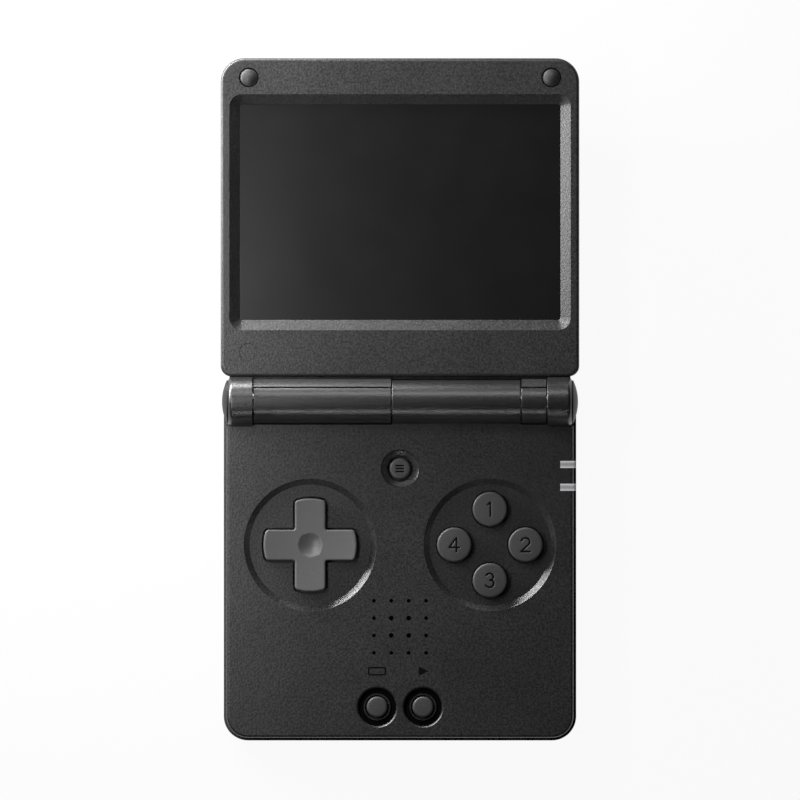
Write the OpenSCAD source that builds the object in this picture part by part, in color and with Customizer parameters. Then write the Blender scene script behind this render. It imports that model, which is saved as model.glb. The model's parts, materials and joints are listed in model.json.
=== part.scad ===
// Clamshell handheld game console, lying open at 180 degrees on its rubber feet.
// The lid points to +Y and the controls face up. Sizes are in millimetres.
// Inside the modules y is counted from the hinge axis, and placed() moves it to the frame.

/* [Overall] */
// Width of the base across its lower shell
base_w = 84.2; // [80:0.1:105]
// Distance from the hinge axis to the front edge of the base
base_front = 80.95; // [78:0.05:100]
// Distance from the hinge axis to the back wall of the base
base_back = 5.75; // [5.2:0.05:5.8]
// Height of the base from its bottom skin to its face
base_h = 15; // [15:0.1:18]
// How far the lid stands out past each side of the base
lid_side = 0.75; // [0:0.05:2]
// Distance from the hinge axis to the near edge of the lid
lid_near = 6.05; // [6:0.05:7]
// Distance from the hinge axis to the far edge of the lid
lid_far = 82.1; // [81:0.1:100]
// Thickness of the lid
lid_t = 8.5; // [8.3:0.1:12]
// Gap between the two faces when the lid is shut
shut_gap = 0.6; // [0.6:0.05:1]

/* [Shells] */
// Wall of the base shells
wall = 1.6; // [1.4:0.1:2]
// Skin of the base, at its face and at its bottom
skin = 1.6; // [1.4:0.1:2]
// Wall of the lid shells
lid_wall = 1.5; // [1.3:0.1:1.8]
// Skin of the lid, at its bezel and at its back
lid_skin = 1.6; // [1.4:0.1:1.8]
// How far the upper base shell is set in from the lower one
shell_step = 0.65; // [0.4:0.05:0.8]
// Height of the upper base shell
upper_h = 6.6; // [6.2:0.1:6.8]
// Height of the lid's rear shell
lid_rear_h = 3.9; // [3.6:0.1:4.4]
// Radius of the base's front corners, seen from above
base_corner = 5.8; // [4:0.1:9]
// Radius of the base's back corners, seen from above
base_back_corner = 3; // [2.8:0.1:3.4]
// Radius of the lid's far corners, seen from above
lid_corner = 5.7; // [4:0.1:9]
// Radius of the lid's near corners, seen from above
lid_near_corner = 2.5; // [2.4:0.1:5]
// Edge radius round the base's face
base_edge = 0.65; // [0.3:0.05:0.7]
// Edge radius round the base's bottom
base_bottom_edge = 2; // [1:0.1:2.2]
// Edge radius round the lid's bezel
lid_edge = 0.75; // [0.3:0.05:0.75]
// Edge radius round the lid's back
lid_back_edge = 1.8; // [1:0.1:2]
// Height of the lip that locates the upper base shell in the lower one
lip_h = 1; // [0.6:0.1:1.2]
// Thickness of that lip
lip_t = 0.8; // [0.6:0.1:1]

/* [Hinge] */
// Radius of the hinge barrel
barrel_r = 5.16; // [4.8:0.02:5.2]
// Radius of the end caps of the barrel
cap_r = 5.86; // [5.5:0.02:5.9]
// Length of an end cap
cap_len = 7.3; // [6.8:0.1:9]
// How far an end cap stands out past the side of the base
cap_stand_out = 0.45; // [0.2:0.05:0.6]
// Rounding of the end cap's outer shoulder
cap_shoulder = 1; // [0.5:0.1:1.6]
// Radius of the domed button on the end of a cap
cap_button_r = 5.1; // [4:0.1:5.2]
// Height of that button over the cap's shoulder
cap_button_h = 1.45; // [1.2:0.05:1.6]
// Radius of the button's dome
cap_dome_r = 12; // [11:0.5:30]
// Where the left knuckle ends and the middle barrel starts, in x
split_x = -2; // [-6:0.5:4]
// Length of the right knuckle
right_knuckle_len = 5.95; // [5:0.05:9]
// Gap between neighbours along the barrel
barrel_gap = 0.25; // [0.15:0.05:0.4]
// Gap between a turning knuckle and its trough
run_gap = 0.34; // [0.2:0.02:0.5]
// Wall of the trough
trough_t = 1.3; // [1:0.1:1.4]
// Bore of the left knuckle, round the rolled cable
knuckle_bore_r = 3.4; // [3.2:0.1:3.6]
// Bore of the middle barrel
barrel_bore_r = 2.8; // [2.6:0.1:3]
// Length of the tube by which the middle barrel steers the left knuckle
spigot_len = 3; // [2:0.5:5]
// Wall of that tube
spigot_t = 0.8; // [0.6:0.1:0.9]
// Radius of the plain pin in the left end cap
pin_r = 2.4; // [2:0.1:2.6]
// Length of the plain pin inside the left end cap
pin_in_cap = 4.75; // [3:0.05:5]
// Length of the knuckle's end wall that turns on the pin
pin_grip = 6; // [4:0.5:10]
// Radius of the friction cartridge's housing
cartridge_r = 3.6; // [3.2:0.1:3.8]
// Length of that housing
cartridge_len = 5.4; // [4.5:0.1:5.6]
// Radius of the cartridge's shaft
shaft_r = 2.45; // [2:0.05:2.6]
// Length of the middle barrel's end wall, which holds the shaft's tip
end_wall = 3; // [2:0.5:5]
// Top of the web that joins a knuckle to the lid, below the lid's bezel
web_down = 0.4; // [0.2:0.1:0.8]
// Thickness of that web
web_t = 3; // [2.4:0.1:3]
// Width of the groove between the web and the lid
web_groove = 0.6; // [0.4:0.05:0.8]
// Depth of that groove
web_groove_depth = 1.6; // [1:0.1:1.8]
// Reach of the rib that closes the view between the lid and the barrel
rib_reach = 0.6; // [0.3:0.05:0.6]
// Top of that rib, below the lid's bezel
rib_down = 2.4; // [2.4:0.1:3]
// Distance of the rib's ends from the sides of the lid
rib_in = 2.1; // [2:0.1:4]

/* [Screen] */
// Half the width of the recess round the lens
recess_half = 40.8; // [36:0.1:41]
// Distance from the hinge axis to the recess's near edge
recess_near = 17.1; // [16:0.1:20]
// Length of the recess, away from the hinge
recess_len = 56.4; // [50:0.1:57]
// Radius of the recess's corners
recess_corner = 3; // [2.8:0.1:5]
// Width of the sloped bevel round the lens
bevel_w = 2.45; // [2:0.05:2.7]
// Depth from the bezel to the foot of the bevel
bevel_depth = 1.6; // [1.2:0.1:1.8]
// Thickness of the lens
lens_t = 1.05; // [0.8:0.05:1.2]
// Thickness of the lens adhesive
adhesive_t = 0.15; // [0.1:0.05:0.2]
// Width of the ledge under the lens
ledge_w = 1.5; // [1:0.1:2]
// Thickness of the ledge under the lens
ledge_t = 0.85; // [0.7:0.05:1]
// Thickness of the display panel
panel_t = 1.25; // [1:0.05:1.4]
// Thickness of the backlight
backlight_t = 1.05; // [0.8:0.05:1.2]
// Overlap of the display panel under the ledge
panel_lap = 1.1; // [0.8:0.1:1.4]

/* [Lid details] */
// Distance of the bumpers from the middle, in x
bumper_x = 36.15; // [33:0.05:37]
// Distance of the bumpers from the far edge
bumper_in = 4.6; // [4.2:0.1:6]
// Radius of a bumper
bumper_r = 2.12; // [1.8:0.02:2.2]
// Radius of a bumper's pocket
pocket_r = 2.37; // [2.3:0.01:2.5]
// How far the bumper's dome stands out of the bezel
bumper_proud = 0.45; // [0.3:0.05:0.5]
// Height of the bumper's dome
bumper_dome = 0.7; // [0.4:0.05:0.9]
// Radius of the screw plug
plug_r = 2.05; // [1.8:0.05:2.3]
// Gap round the screw plug
plug_gap = 0.05; // [0.03:0.01:0.1]
// Distance of the screw plug from the middle, in x
plug_x = 36.3; // [33:0.1:37]
// Distance from the hinge axis to the screw plug
plug_y = 11.9; // [11.6:0.1:12.5]
// Radius of the lid's screw bosses
lid_boss_r = 3; // [2.8:0.1:3.2]
// Depth of a pocket down to the screw's head
pocket_depth = 2.35; // [2.2:0.05:2.5]

/* [Direction pad] */
// Distance of the pad's centre from the middle, in x
pad_x = 21.46; // [21:0.01:24]
// Distance from the hinge axis to the pad's centre
pad_y = 34.27; // [32:0.01:40]
// Radius of the dishes round the pad and the face buttons
dish_r = 15.87; // [14.5:0.01:17]
// Width of a dish's sloped wall
dish_slope = 1.4; // [1:0.1:1.8]
// Depth of those dishes
dish_depth = 1.1; // [0.8:0.05:1.3]
// Reach of the pad's arms from its centre
pad_reach = 11.15; // [9:0.05:11.3]
// Width of the pad's arms
pad_arm = 7.3; // [6:0.1:8]
// Radius of the arms' corners
pad_corner = 0.95; // [0.5:0.05:1.5]
// Gap round the pad's arms
pad_gap = 0.5; // [0.45:0.05:0.7]
// How far the ends of the arms stand above the face
pad_proud = 1; // [0.6:0.1:1.2]
// How much lower the pad's middle is than its ends
pad_sag = 0.5; // [0.2:0.1:0.8]
// Radius of the dimple in the pad's middle
dimple_r = 2.87; // [2:0.01:3.2]
// Depth of that dimple
dimple_depth = 0.6; // [0.3:0.1:0.8]
// Radius of the pad's flange
pad_flange_r = 12.2; // [11.8:0.1:12.4]
// Thickness of the pad's flange
pad_flange_t = 0.9; // [0.7:0.05:1]
// Free height over the flange, in which it tilts
pad_tilt_room = 1.1; // [1.1:0.05:1.3]
// Radius of the pivot ball
ball_r = 1.5; // [1.2:0.1:1.6]

/* [Round buttons] */
// Distance of the face buttons' common centre from the middle, in x
cluster_x = 21.5; // [21:0.1:24]
// Distance from the hinge axis to that centre
cluster_y = 34.2; // [32:0.1:40]
// Distance of each face button from that centre
cluster_r = 8.52; // [8:0.01:9]
// Radius of a face button's cap
face_cap_r = 4.15; // [3.6:0.05:4.3]
// How far a face button stands above the face
face_proud = 0.9; // [0.5:0.1:1.2]
// Radius of the small caps of the menu and option buttons
small_cap_r = 2.5; // [2:0.1:2.8]
// How far those caps stand above the face
small_proud = 0.1; // [0:0.05:0.2]
// Gap round a face button's cap
cap_gap = 0.3; // [0.2:0.05:0.4]
// Gap round an option button's cap
option_gap = 0.4; // [0.3:0.05:0.5]
// Gap round the menu button's cap
menu_gap = 0.6; // [0.4:0.05:0.7]
// Rounding of a cap's top edge
cap_edge = 0.5; // [0.2:0.05:0.6]
// Thickness of a button's flange
flange_t = 0.85; // [0.7:0.05:1]
// How far a flange reaches out past its cap
flange_out = 1.25; // [1:0.05:1.5]
// Gap between a flange and the shell above it
flange_gap = 0.15; // [0.1:0.05:0.3]
// Distance from the hinge axis to the menu button
menu_y = 16; // [15:0.1:17]
// Radius of the dish round the menu button
menu_dish_r = 4.6; // [4.2:0.1:5]
// Distance of the option buttons from the middle, in x
option_x = 5.48; // [5.2:0.01:8]
// Distance of the option buttons from the front edge
option_in = 7.98; // [7.6:0.02:9]
// Radius of the dish round an option button
option_dish_r = 4.95; // [4.4:0.05:5.1]
// Depth of the menu button's bowl
menu_dish_depth = 1; // [0.6:0.1:1.2]
// Depth of the groove round the option buttons
groove_depth = 1.7; // [1.1:0.1:1.7]
// Depth of the collar between that groove and the cap
collar_depth = 0.8; // [0.6:0.1:1]
// Width of the collar
collar_w = 0.3; // [0.2:0.05:0.4]
// Width of the sloped rim of the bowl and the grooves
rim_w = 0.35; // [0.2:0.05:0.5]

/* [Speaker] */
// Distance from the hinge axis to the speaker's centre
speaker_y = 53.8; // [50:0.1:60]
// Holes along each side of the grille
grille_n = 4; // [2:2:6]
// Spacing of those holes
grille_pitch = 4.15; // [3:0.05:4.4]
// Radius of the outer holes
grille_r = 0.45; // [0.3:0.05:0.6]
// Radius of the inner holes
grille_inner_r = 0.575; // [0.4:0.025:0.8]
// Radius of the speaker
speaker_r = 10; // [8:0.1:10.5]
// Thickness of the speaker
speaker_t = 3.6; // [3:0.1:4]

/* [Edges] */
// Distance from the hinge axis to the first light strip
strip_y = 15; // [14.5:0.05:18]
// Spacing of the two light strips
strip_pitch = 5.45; // [4:0.05:7]
// Width of a light strip
strip_w = 1.7; // [1:0.1:2.2]
// Length of a light strip on the face, from the side of the base
strip_len = 3.8; // [3:0.1:5]
// Width of an outer shoulder button
outer_shoulder_w = 13.5; // [11:0.1:14]
// Width of an inner shoulder button
inner_shoulder_w = 11; // [8:0.1:12]
// Distance of an outer shoulder button from the side of the base
shoulder_in = 3.6; // [3.3:0.1:5]
// Gap between the two shoulder buttons of a side
shoulder_between = 1.5; // [1:0.1:3]
// Travel of a shoulder button
shoulder_travel = 0.8; // [0.5:0.1:1]
// How far the shoulder buttons stand out of their wall
shoulder_proud = 0.4; // [0.2:0.05:0.5]
// How far the side keys stand out of their wall
key_proud = 0; // [-0.3:0.05:0.4]
// Gap round the edge buttons
edge_gap = 0.2; // [0.15:0.05:0.3]
// Distance from the hinge axis to the volume rocker
volume_y = 24; // [22:0.5:28]
// Length of the volume rocker
volume_len = 15; // [10:0.5:18]
// Distance from the hinge axis to the power button
power_y = 31; // [30:0.5:34]
// Length of the power button
power_len = 8; // [6:0.5:10]
// Distance from the hinge axis to the reset button
reset_y = 41; // [39:0.5:43]
// Radius of the reset button
reset_r = 0.9; // [0.7:0.1:1.2]
// Height of the side keys
key_h = 3; // [2:0.1:3.2]
// Travel of the power and reset buttons
key_travel = 0.4; // [0.2:0.1:0.5]

/* [Ports] */
// Radius of the headphone jack's bore
jack_bore_r = 1.8; // [1.78:0.01:1.85]
// Length of the headphone jack
jack_len = 14.7; // [13:0.1:16]
// Width of the headphone jack
jack_w = 6; // [5.4:0.1:6.6]
// Height of the headphone jack
jack_h = 4.8; // [4.6:0.1:4.9]
// Distance of the headphone jack from the middle, in x
jack_x = 15; // [12:0.5:18]
// Width of a charge or data port's shell
usb_w = 8.94; // [8.9:0.02:9]
// Height of that shell
usb_h = 3.2; // [3.1:0.02:3.3]
// Length of that shell
usb_len = 7.35; // [6.5:0.05:9]
// Width of the video port's shell
video_w = 11.2; // [10:0.1:12]
// Distance of the video port from the middle, in x
video_x = -5.2; // [-6:0.1:-5]
// Distance of the data port from the middle, in x
data_x = 6.4; // [6:0.1:7]
// Wall of the port shells
port_t = 0.3; // [0.2:0.05:0.4]
// Distance from the front edge to the card slots
card_in = 18.95; // [18:0.05:22]
// Width of a memory card
card_w = 11; // [10.9:0.1:11.2]
// Thickness of a memory card
card_t = 1; // [0.8:0.1:1.1]

/* [Inside] */
// Distance from the face to the top of the main board
board_down = 7.2; // [7.1:0.05:7.4]
// Thickness of the main board
board_t = 1.2; // [1:0.1:1.4]
// Gap between inner pieces that rest on each other
seat = 0.05; // [0.03:0.01:0.08]
// Half the width of the battery
battery_half = 24; // [18:0.5:25]
// Length of the battery
battery_len = 50; // [40:0.5:52]
// Thickness of the battery
battery_t = 4.5; // [3.5:0.1:4.5]
// Distance from the hinge axis to the battery
battery_y = 12; // [12:0.5:16]
// Width of the ledge that the battery cover rests on
cover_ledge = 1.5; // [1:0.1:2]
// Free border between the battery and its cover's edge
cover_border = 3; // [2:0.1:4]
// Length of the cover behind the battery, where its screw sits
cover_tail = 5; // [4.8:0.1:5.4]
// Thickness of the battery cover
cover_t = 0.95; // [0.8:0.05:1]
// Gap round the battery cover
cover_gap = 0.15; // [0.1:0.05:0.3]
// Radius of the battery cover's corners
cover_corner = 2; // [1:0.1:4]
// Radius of the screw bosses in the base
boss_r = 2.4; // [2.2:0.1:2.6]
// Distance of the side screws from the side of the base
boss_in = 5.5; // [5.2:0.1:6]
// Distance from the hinge axis to the rear screws
rear_boss_y = 9.5; // [9.4:0.1:11]
// Distance from the hinge axis to the middle screws
middle_boss_y = 49; // [48:0.5:53]
// Distance of the front screws from the middle, in x
front_boss_x = 27; // [25:0.5:30]
// Distance of the front screws from the front edge
front_boss_in = 6; // [5.6:0.1:7]
// Radius of a screw's shank
screw_r = 0.8; // [0.7:0.05:0.9]
// Radius of a screw's head
screw_head_r = 1.6; // [1.4:0.1:1.7]
// Height of a screw's head
screw_head_h = 0.8; // [0.6:0.1:1]
// Gap round a screw's head
screw_gap = 0.2; // [0.1:0.05:0.3]
// Height of the feet below the bottom skin
foot_h = 0.6; // [0.4:0.1:1]
// Depth to which the feet are let into the bottom skin
foot_sunk = 0.4; // [0.3:0.1:0.6]
// Radius of a foot
foot_r = 4; // [3:0.1:4.5]
// Distance of the feet from the side of the base
foot_in = 8; // [7.5:0.1:10]
// Distance of the front feet from the front edge
front_foot_in = 8; // [7.5:0.1:10]
// Distance from the hinge axis to the back feet
back_foot_y = 3; // [2.8:0.1:6]

/* [Hidden] */
$fn = 96;

// Overrun of every cutting shape past the face that it opens
over = 1;
// Heights above the table
bottom_z = foot_h;
floor_z = bottom_z + skin;
face_z = bottom_z + base_h;
ceiling_z = face_z - skin;
parting_z = face_z - upper_h;
axis_z = face_z + shut_gap / 2;
board_top = face_z - board_down;
board_under = board_top - board_t;
lid_back_z = face_z - lid_t;
lid_parting_z = lid_back_z + lid_rear_h;
lid_ceiling_z = face_z - lid_skin;
// The frame's origin lies midway between the lid's far edge and the base's front edge
hinge_y = (base_front - lid_far) / 2;

// Outlines
base_half = base_w / 2;
top_half = base_half - shell_step;
lid_half = base_half + lid_side;
inner_half = base_half - wall;
inner_back = base_back - wall;
inner_front = base_front - wall;

// Barrel stations along x
cap_outer = base_half + cap_stand_out;
cap_inner = cap_outer - cap_len;
right_end = cap_inner - barrel_gap;
right_start = right_end - right_knuckle_len;
middle_start = split_x + barrel_gap / 2;
middle_end = right_start - barrel_gap;
left_start = -right_end;
left_end = split_x - barrel_gap / 2;
web_top = face_z - web_down;
web_under = web_top - web_t;
web_room = 0.3;
turn_gap = 0.05;

// Controls
dish_floor_r = dish_r - dish_slope;
dish_floor_z = face_z - dish_depth;
dish_under_z = dish_floor_z - skin;
pad_flange_z = dish_under_z - pad_tilt_room - pad_flange_t;
ball_z = pad_flange_z - pad_flange_t / 3;
small_under_z = face_z - groove_depth - 0.7 * skin;
stem_r = 2;
stem_h = 0.9;
dome_gap = 0.3;
mat_t = 1;
mat_border = 0.6;
pad_dome_r = 3;
face_dome_r = 3.4;
small_dome_r = 2.8;
option_y = base_front - option_in;

// Hinge
spigot_r = knuckle_bore_r - turn_gap;
spigot_start = split_x - spigot_len;
cartridge_start = cap_inner + 0.35;
shaft_start = middle_end - end_wall + 0.2;
pin_free = 0.3;
flex_t = 0.2;
flex_w = 11;
flex_room = 0.5;
flex_drop_y = 2;
hinge_flex_x0 = split_x + 10.5;
hinge_flex_x1 = hinge_flex_x0 + flex_w;
hinge_flex_r = spigot_r - spigot_t - 0.4;
display_flex_x0 = left_start + pin_grip + 9;
display_flex_x1 = display_flex_x0 + flex_w;
display_flex_r = spigot_r - 0.35;
flex_slot_z = web_under + 0.4;
flex_foot = 1;
flex_foot_h = 0.6;

// The battery's lead: wires at lead_x on either side, then the plug under the board
lead_r = 0.45;
lead_x = 1.2;
lead_z = floor_z + seat + battery_t - 0.75;
lead_len = 2;
plug_half = 2.6;
plug_len = 3;

// Screws and the battery cover
screw_well = 0.5;
screw_top = face_z - skin - 1.5;
screw_spare = 0.5;
cover_half = battery_half + cover_border;
cover_y0 = -battery_y - battery_len - cover_border;
cover_y1 = cover_tail - battery_y;
cover_screw_y = battery_y - cover_tail / 2;
cover_head_h = 0.5;
cover_boss_h = 2.6;

// Main board
lip_out = wall - shell_step + 0.1;
board_half = top_half - lip_out - lip_t - 0.8;
board_front = base_front - base_half + board_half;
board_corner = 2.6;

// Edge buttons
key_z = board_under - 0.2 - key_h / 2;
key_out_x = base_half + key_proud;
key_flange_x = inner_half - flange_gap - flange_t;
port_mid_z = board_under - seat - usb_h / 2;
shoulder_z = floor_z + 0.7;
shoulder_h = board_under + 0.3 - shoulder_z;
shoulder_corner = 1;
shoulder_lap = 0.6;
outer_shoulder_x = base_half - shoulder_in - outer_shoulder_w;
inner_shoulder_x = outer_shoulder_x - shoulder_between - inner_shoulder_w;
shoulder_flange_y = inner_back - flange_gap - flange_t;
board_back = shoulder_flange_y - shoulder_travel - 0.25;
key_corner = 0.8;
rocker_inner_x = inner_half - 0.6;
rocker_pin_x = inner_half - 1.3;
rocker_pin_r = 0.6;
rocker_swing = 0.4;
rocker_arm = 5;
rocker_boss_x = 1;
rocker_boss_y = 1.5;
tip_gap = 0.05;
switch_tip = 0.4;
switch_tip_r = 0.7;
switch_len = 3;
switch_drop = 1.5;
side_switch_w = 3.5;
shoulder_switch_w = 4.5;
shield_w = 13;
shield_len = 18;
shield_t = 1.9;
shield_y = 33;
card_y = base_front - card_in;
card_shell_t = 0.25;
card_play = 0.1;
card_z = board_under - seat - card_shell_t - card_play - card_t;
jack_z = board_under - seat - jack_h / 2;
jack_nose_r = jack_bore_r + 0.8;
port_in = 0.3;
tongue_in = 1.2;
usb_tongue_half = 3.35;
video_tongue_half = 4;
tongue_t = 0.7;
card_depth = 13;
card_rail = 1.15;

face_stem_z = dish_under_z - flange_gap - flange_t - stem_h;
small_stem_z = small_under_z - flange_gap - flange_t - stem_h;
mesh_t = 0.3;
mesh_z = ceiling_z - seat - mesh_t;
jack_end = 0.6;
magnet_x = 18;
magnet_w = 5;
magnet_len = 3;
magnet_t = 2;
magnet_y = lid_far - 5;
sensor_w = 3;
sensor_t = 1;
sensor_behind = 2.9;

// Lid stack
glass_half = recess_half - bevel_w;
glass_near = recess_near + bevel_w;
glass_len = recess_len - 2 * bevel_w;
glass_corner = recess_corner - bevel_w;
ledge_top = face_z - bevel_depth - lens_t - adhesive_t - seat;
ledge_under = ledge_top - ledge_t;
panel_top = ledge_under - seat;
backlight_top = panel_top - panel_t - seat;
foam_top = backlight_top - backlight_t - seat;
lid_floor_z = lid_back_z + lid_skin;
bumper_y = lid_far - bumper_in;
lid_head_z = face_z - pocket_depth - screw_head_h;

// Moves a shape that is drawn from the hinge axis to its place in the frame
module placed() translate([0, hinge_y, 0]) children();

// Repeats a shape on both sides of the middle plane
module both_sides() {
    children();
    mirror([1, 0, 0]) children();
}

// A box between two corners
module box(from, to) translate(from) cube(to - from);

// A round bar along the hinge axis between two stations
module along_axis(x0, x1, r)
    translate([x0, 0, axis_z]) rotate([0, 90, 0]) cylinder(h = x1 - x0, r = r);

// A rectangle with corner radius r0 at y0 and r1 at y1, set in from its outline
module outline(half, y0, y1, r0, r1, inset = 0) {
    for (side = [-1, 1]) {
        translate([side * (half - r0), y0 + r0]) circle(r0 - inset);
        translate([side * (half - r1), y1 - r1]) circle(r1 - inset);
    }
    translate([inset - half, y0 + r0]) square([2 * (half - inset), y1 - y0 - r0 - r1]);
    translate([r0 - half, y0 + inset]) square([2 * (half - r0), r0 - inset]);
    translate([r1 - half, y1 - r1]) square([2 * (half - r1), r1 - inset]);
}

// Carries a profile, drawn as (outward, up), round that same rectangle
module around(half, y0, y1, r0, r1) {
    both_sides() {
        translate([half, y1 - r1, 0]) rotate([90, 0, 0]) linear_extrude(y1 - y0 - r0 - r1)
            children();
        translate([half - r1, y1 - r1, 0]) rotate_extrude(angle = 90)
            translate([r1, 0]) children();
        translate([half - r0, y0 + r0, 0]) rotate([0, 0, -90]) rotate_extrude(angle = 90)
            translate([r0, 0]) children();
    }
    translate([half - r0, y0, 0]) rotate([90, 0, -90]) linear_extrude(2 * (half - r0))
        children();
    translate([r1 - half, y1, 0]) rotate([90, 0, 90]) linear_extrude(2 * (half - r1))
        children();
}

// The wall of a shell that opens downwards, with a rounded top edge
module wall_down(t, z0, z1, edge) {
    translate([-t, z0]) square([t, z1 - z0 - edge]);
    translate([-t, z1 - edge]) square([t - edge, edge]);
    translate([-edge, z1 - edge]) circle(edge);
}

// The wall of a tray that opens upwards, with a rounded bottom edge; core is its inner limit
module wall_up(t, floor_t, z0, z1, edge, core) {
    difference() {
        union() {
            translate([-t, z0 + edge]) square([t, z1 - z0 - edge]);
            translate([-core, z0]) square([core - edge, floor_t]);
            translate([-edge, z0 + edge]) circle(edge);
        }
        translate([-core - over, z0 + floor_t]) square([core + over - t, z1 - z0]);
        translate([-core - 2 * edge, z0 - over]) square([2 * edge, z1 - z0 + 2 * over]);
    }
}

// The base's outline; step sets it in for the upper shell, inset for its core
module base_outline(inset, step) {
    outline(base_half - step, step - base_front, base_back - step,
        base_corner - step, base_back_corner - step, inset);
}

// Stations of the base's shell screws
module at_base_screws() {
    both_sides() {
        for (y = [rear_boss_y, middle_boss_y]) translate([base_half - boss_in, -y, 0]) children();
        translate([front_boss_x, front_boss_in - base_front, 0]) children();
    }
}

// Stations of the four feet
module at_feet() {
    both_sides() {
        translate([base_half - foot_in, -back_foot_y, 0]) children();
        translate([base_half - foot_in, front_foot_in - base_front, 0]) children();
    }
}

// Stations of the lid's screws: under the two bumpers and under the plug
module at_bumpers() both_sides() translate([bumper_x, bumper_y, 0]) children();
module at_plug() translate([-plug_x, plug_y, 0]) children();
module at_lid_screws() {
    at_bumpers() children();
    at_plug() children();
}

// Stations of the four face buttons
module at_face(turn)
    translate([cluster_x, -cluster_y, 0]) rotate([0, 0, turn]) translate([cluster_r, 0, 0])
        children();

// Points of an arc round c from angle a0 to angle a1
function arc_points(c, r, a0, a1, n) =
    [for (i = [0:n]) c + r * [cos(a0 + (a1 - a0) * i / n), sin(a0 + (a1 - a0) * i / n)]];

// A quarter of a cross's outline; its arms have that reach, half width and corner radius
function cross_quarter(reach, half, corner, fillet) =
    let(
        cx = half - corner,
        cy = sqrt(pow(reach - corner, 2) - cx * cx),
        lean = atan2(cy, cx),
        tip_step = (90 - lean) / 2.5,
        turn_step = lean / 5,
        inner = [half + fillet, half + fillet]
    )
    concat(
        arc_points([0, 0], reach, 90 - tip_step / 2, lean, 2),
        arc_points([cx, cy], corner, lean - turn_step, 0, 4),
        fillet > 0 ? arc_points(inner, fillet, 180, 270, 3) : [inner],
        arc_points([cy, cx], corner, 90, 90 - lean + turn_step, 4),
        arc_points([0, 0], reach, 90 - lean, tip_step / 2, 2)
    );

// The pad's cross, grown by extra, with rounded arm ends and filleted inner corners
module cross(h, extra, fillet) {
    quarter = cross_quarter(pad_reach + extra, pad_arm / 2 + extra, pad_corner + extra, fillet);
    linear_extrude(h) polygon([
        for (turn = [0:90:270], p = quarter)
            [p[0] * cos(turn) + p[1] * sin(turn), p[1] * cos(turn) - p[0] * sin(turn)]
    ]);
}

// A dish cut into the face: a cone from its rim to its floor
module dish(r, slope, depth) {
    translate([0, 0, face_z - depth]) cylinder(h = depth, r1 = r - slope, r2 = r);
    translate([0, 0, face_z]) cylinder(h = over, r = r);
}

// A small dish with a sloped rim, then the given points of its profile
module small_dish(r, points) translate([0, 0, face_z]) rotate_extrude()
    polygon(concat([[0, over], [r, over], [r, 0], [r - rim_w, -rim_w]], points));

// A bowl that slopes down to the hole for its cap
module menu_dish() small_dish(menu_dish_r,
    [[small_cap_r + menu_gap, -menu_dish_depth], [0, -menu_dish_depth]]);

// A groove with steep walls round a lower collar that ends at the hole for its cap
module option_dish() {
    collar_r = small_cap_r + option_gap + collar_w;
    wall_slope = 0.1;
    small_dish(option_dish_r, [
        [option_dish_r - rim_w - wall_slope, -groove_depth],
        [collar_r + wall_slope, -groove_depth], [collar_r, -collar_depth], [0, -collar_depth]
    ]);
}

// A vertical hole through the face
module face_hole(r) translate([0, 0, parting_z]) cylinder(h = base_h, r = r);

module light_slots() {
    for (i = [0, 1]) translate([0, -strip_y - i * strip_pitch - strip_w / 2 - seat, 0])
        box([base_half - strip_len - seat, 0, parting_z],
            [base_half + over, strip_w + 2 * seat, face_z + over]);
}

// Room for the web of a knuckle, cut down from above
module web_slot(x0, x1)
    box([x0, barrel_r / 2, web_under - web_room], [x1, base_back + over, face_z + over]);

module grille_holes() {
    reach = (grille_n - 1) * grille_pitch / 2;
    for (i = [0:grille_n - 1], j = [0:grille_n - 1]) {
        inner = i > 0 && i < grille_n - 1 && j > 0 && j < grille_n - 1;
        translate([i * grille_pitch - reach, j * grille_pitch - reach - speaker_y, 0])
            face_hole(inner ? grille_inner_r : grille_r);
    }
}

// The trough that the barrel lies in, before the barrel is cut from it
module trough() {
    r = barrel_r + run_gap + trough_t;
    difference() {
        along_axis(wall - top_half, top_half - wall, r);
        box([-base_w, -2 * r, face_z - skin / 2], [base_w, 2 * r, face_z + 2 * r]);
        box([-base_w, base_back - shell_step - wall / 2, 0], [base_w, 2 * r, face_z + 2 * r]);
    }
}

module barrel_room() {
    along_axis(-cap_inner, split_x, barrel_r + run_gap);
    along_axis(split_x, right_start - barrel_gap / 2, barrel_r + turn_gap);
    along_axis(right_start - barrel_gap / 2, cap_inner, barrel_r + run_gap);
    both_sides() along_axis(cap_inner, cap_outer + over, cap_r + turn_gap);
    web_slot(-cap_inner, split_x);
    web_slot(right_start - barrel_gap / 2, cap_inner);
    flex_drop_slot();
}

module top_shell_solid() {
    around(top_half, shell_step - base_front, base_back - shell_step,
        base_corner - shell_step, base_back_corner - shell_step) {
        wall_down(wall, parting_z, face_z, base_edge);
        translate([-lip_out - lip_t, parting_z - lip_h]) square([lip_t, 1.6 * lip_h]);
    }
    translate([0, 0, ceiling_z]) linear_extrude(skin) base_outline(wall, shell_step);
    trough();
    for (x = [-pad_x, cluster_x])
        translate([x, x < 0 ? -pad_y : -cluster_y, dish_under_z])
            cylinder(h = ceiling_z - dish_under_z + skin / 4, r = dish_r + skin);
    translate([0, -menu_y, small_under_z])
        cylinder(h = ceiling_z - small_under_z + skin / 4, r = menu_dish_r + skin);
    both_sides() translate([option_x, -option_y, small_under_z])
        cylinder(h = ceiling_z - small_under_z + skin / 4, r = option_dish_r);
    at_base_screws() translate([0, 0, board_top + seat])
        cylinder(h = ceiling_z - board_top - seat + skin / 4, r = boss_r);
}

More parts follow.
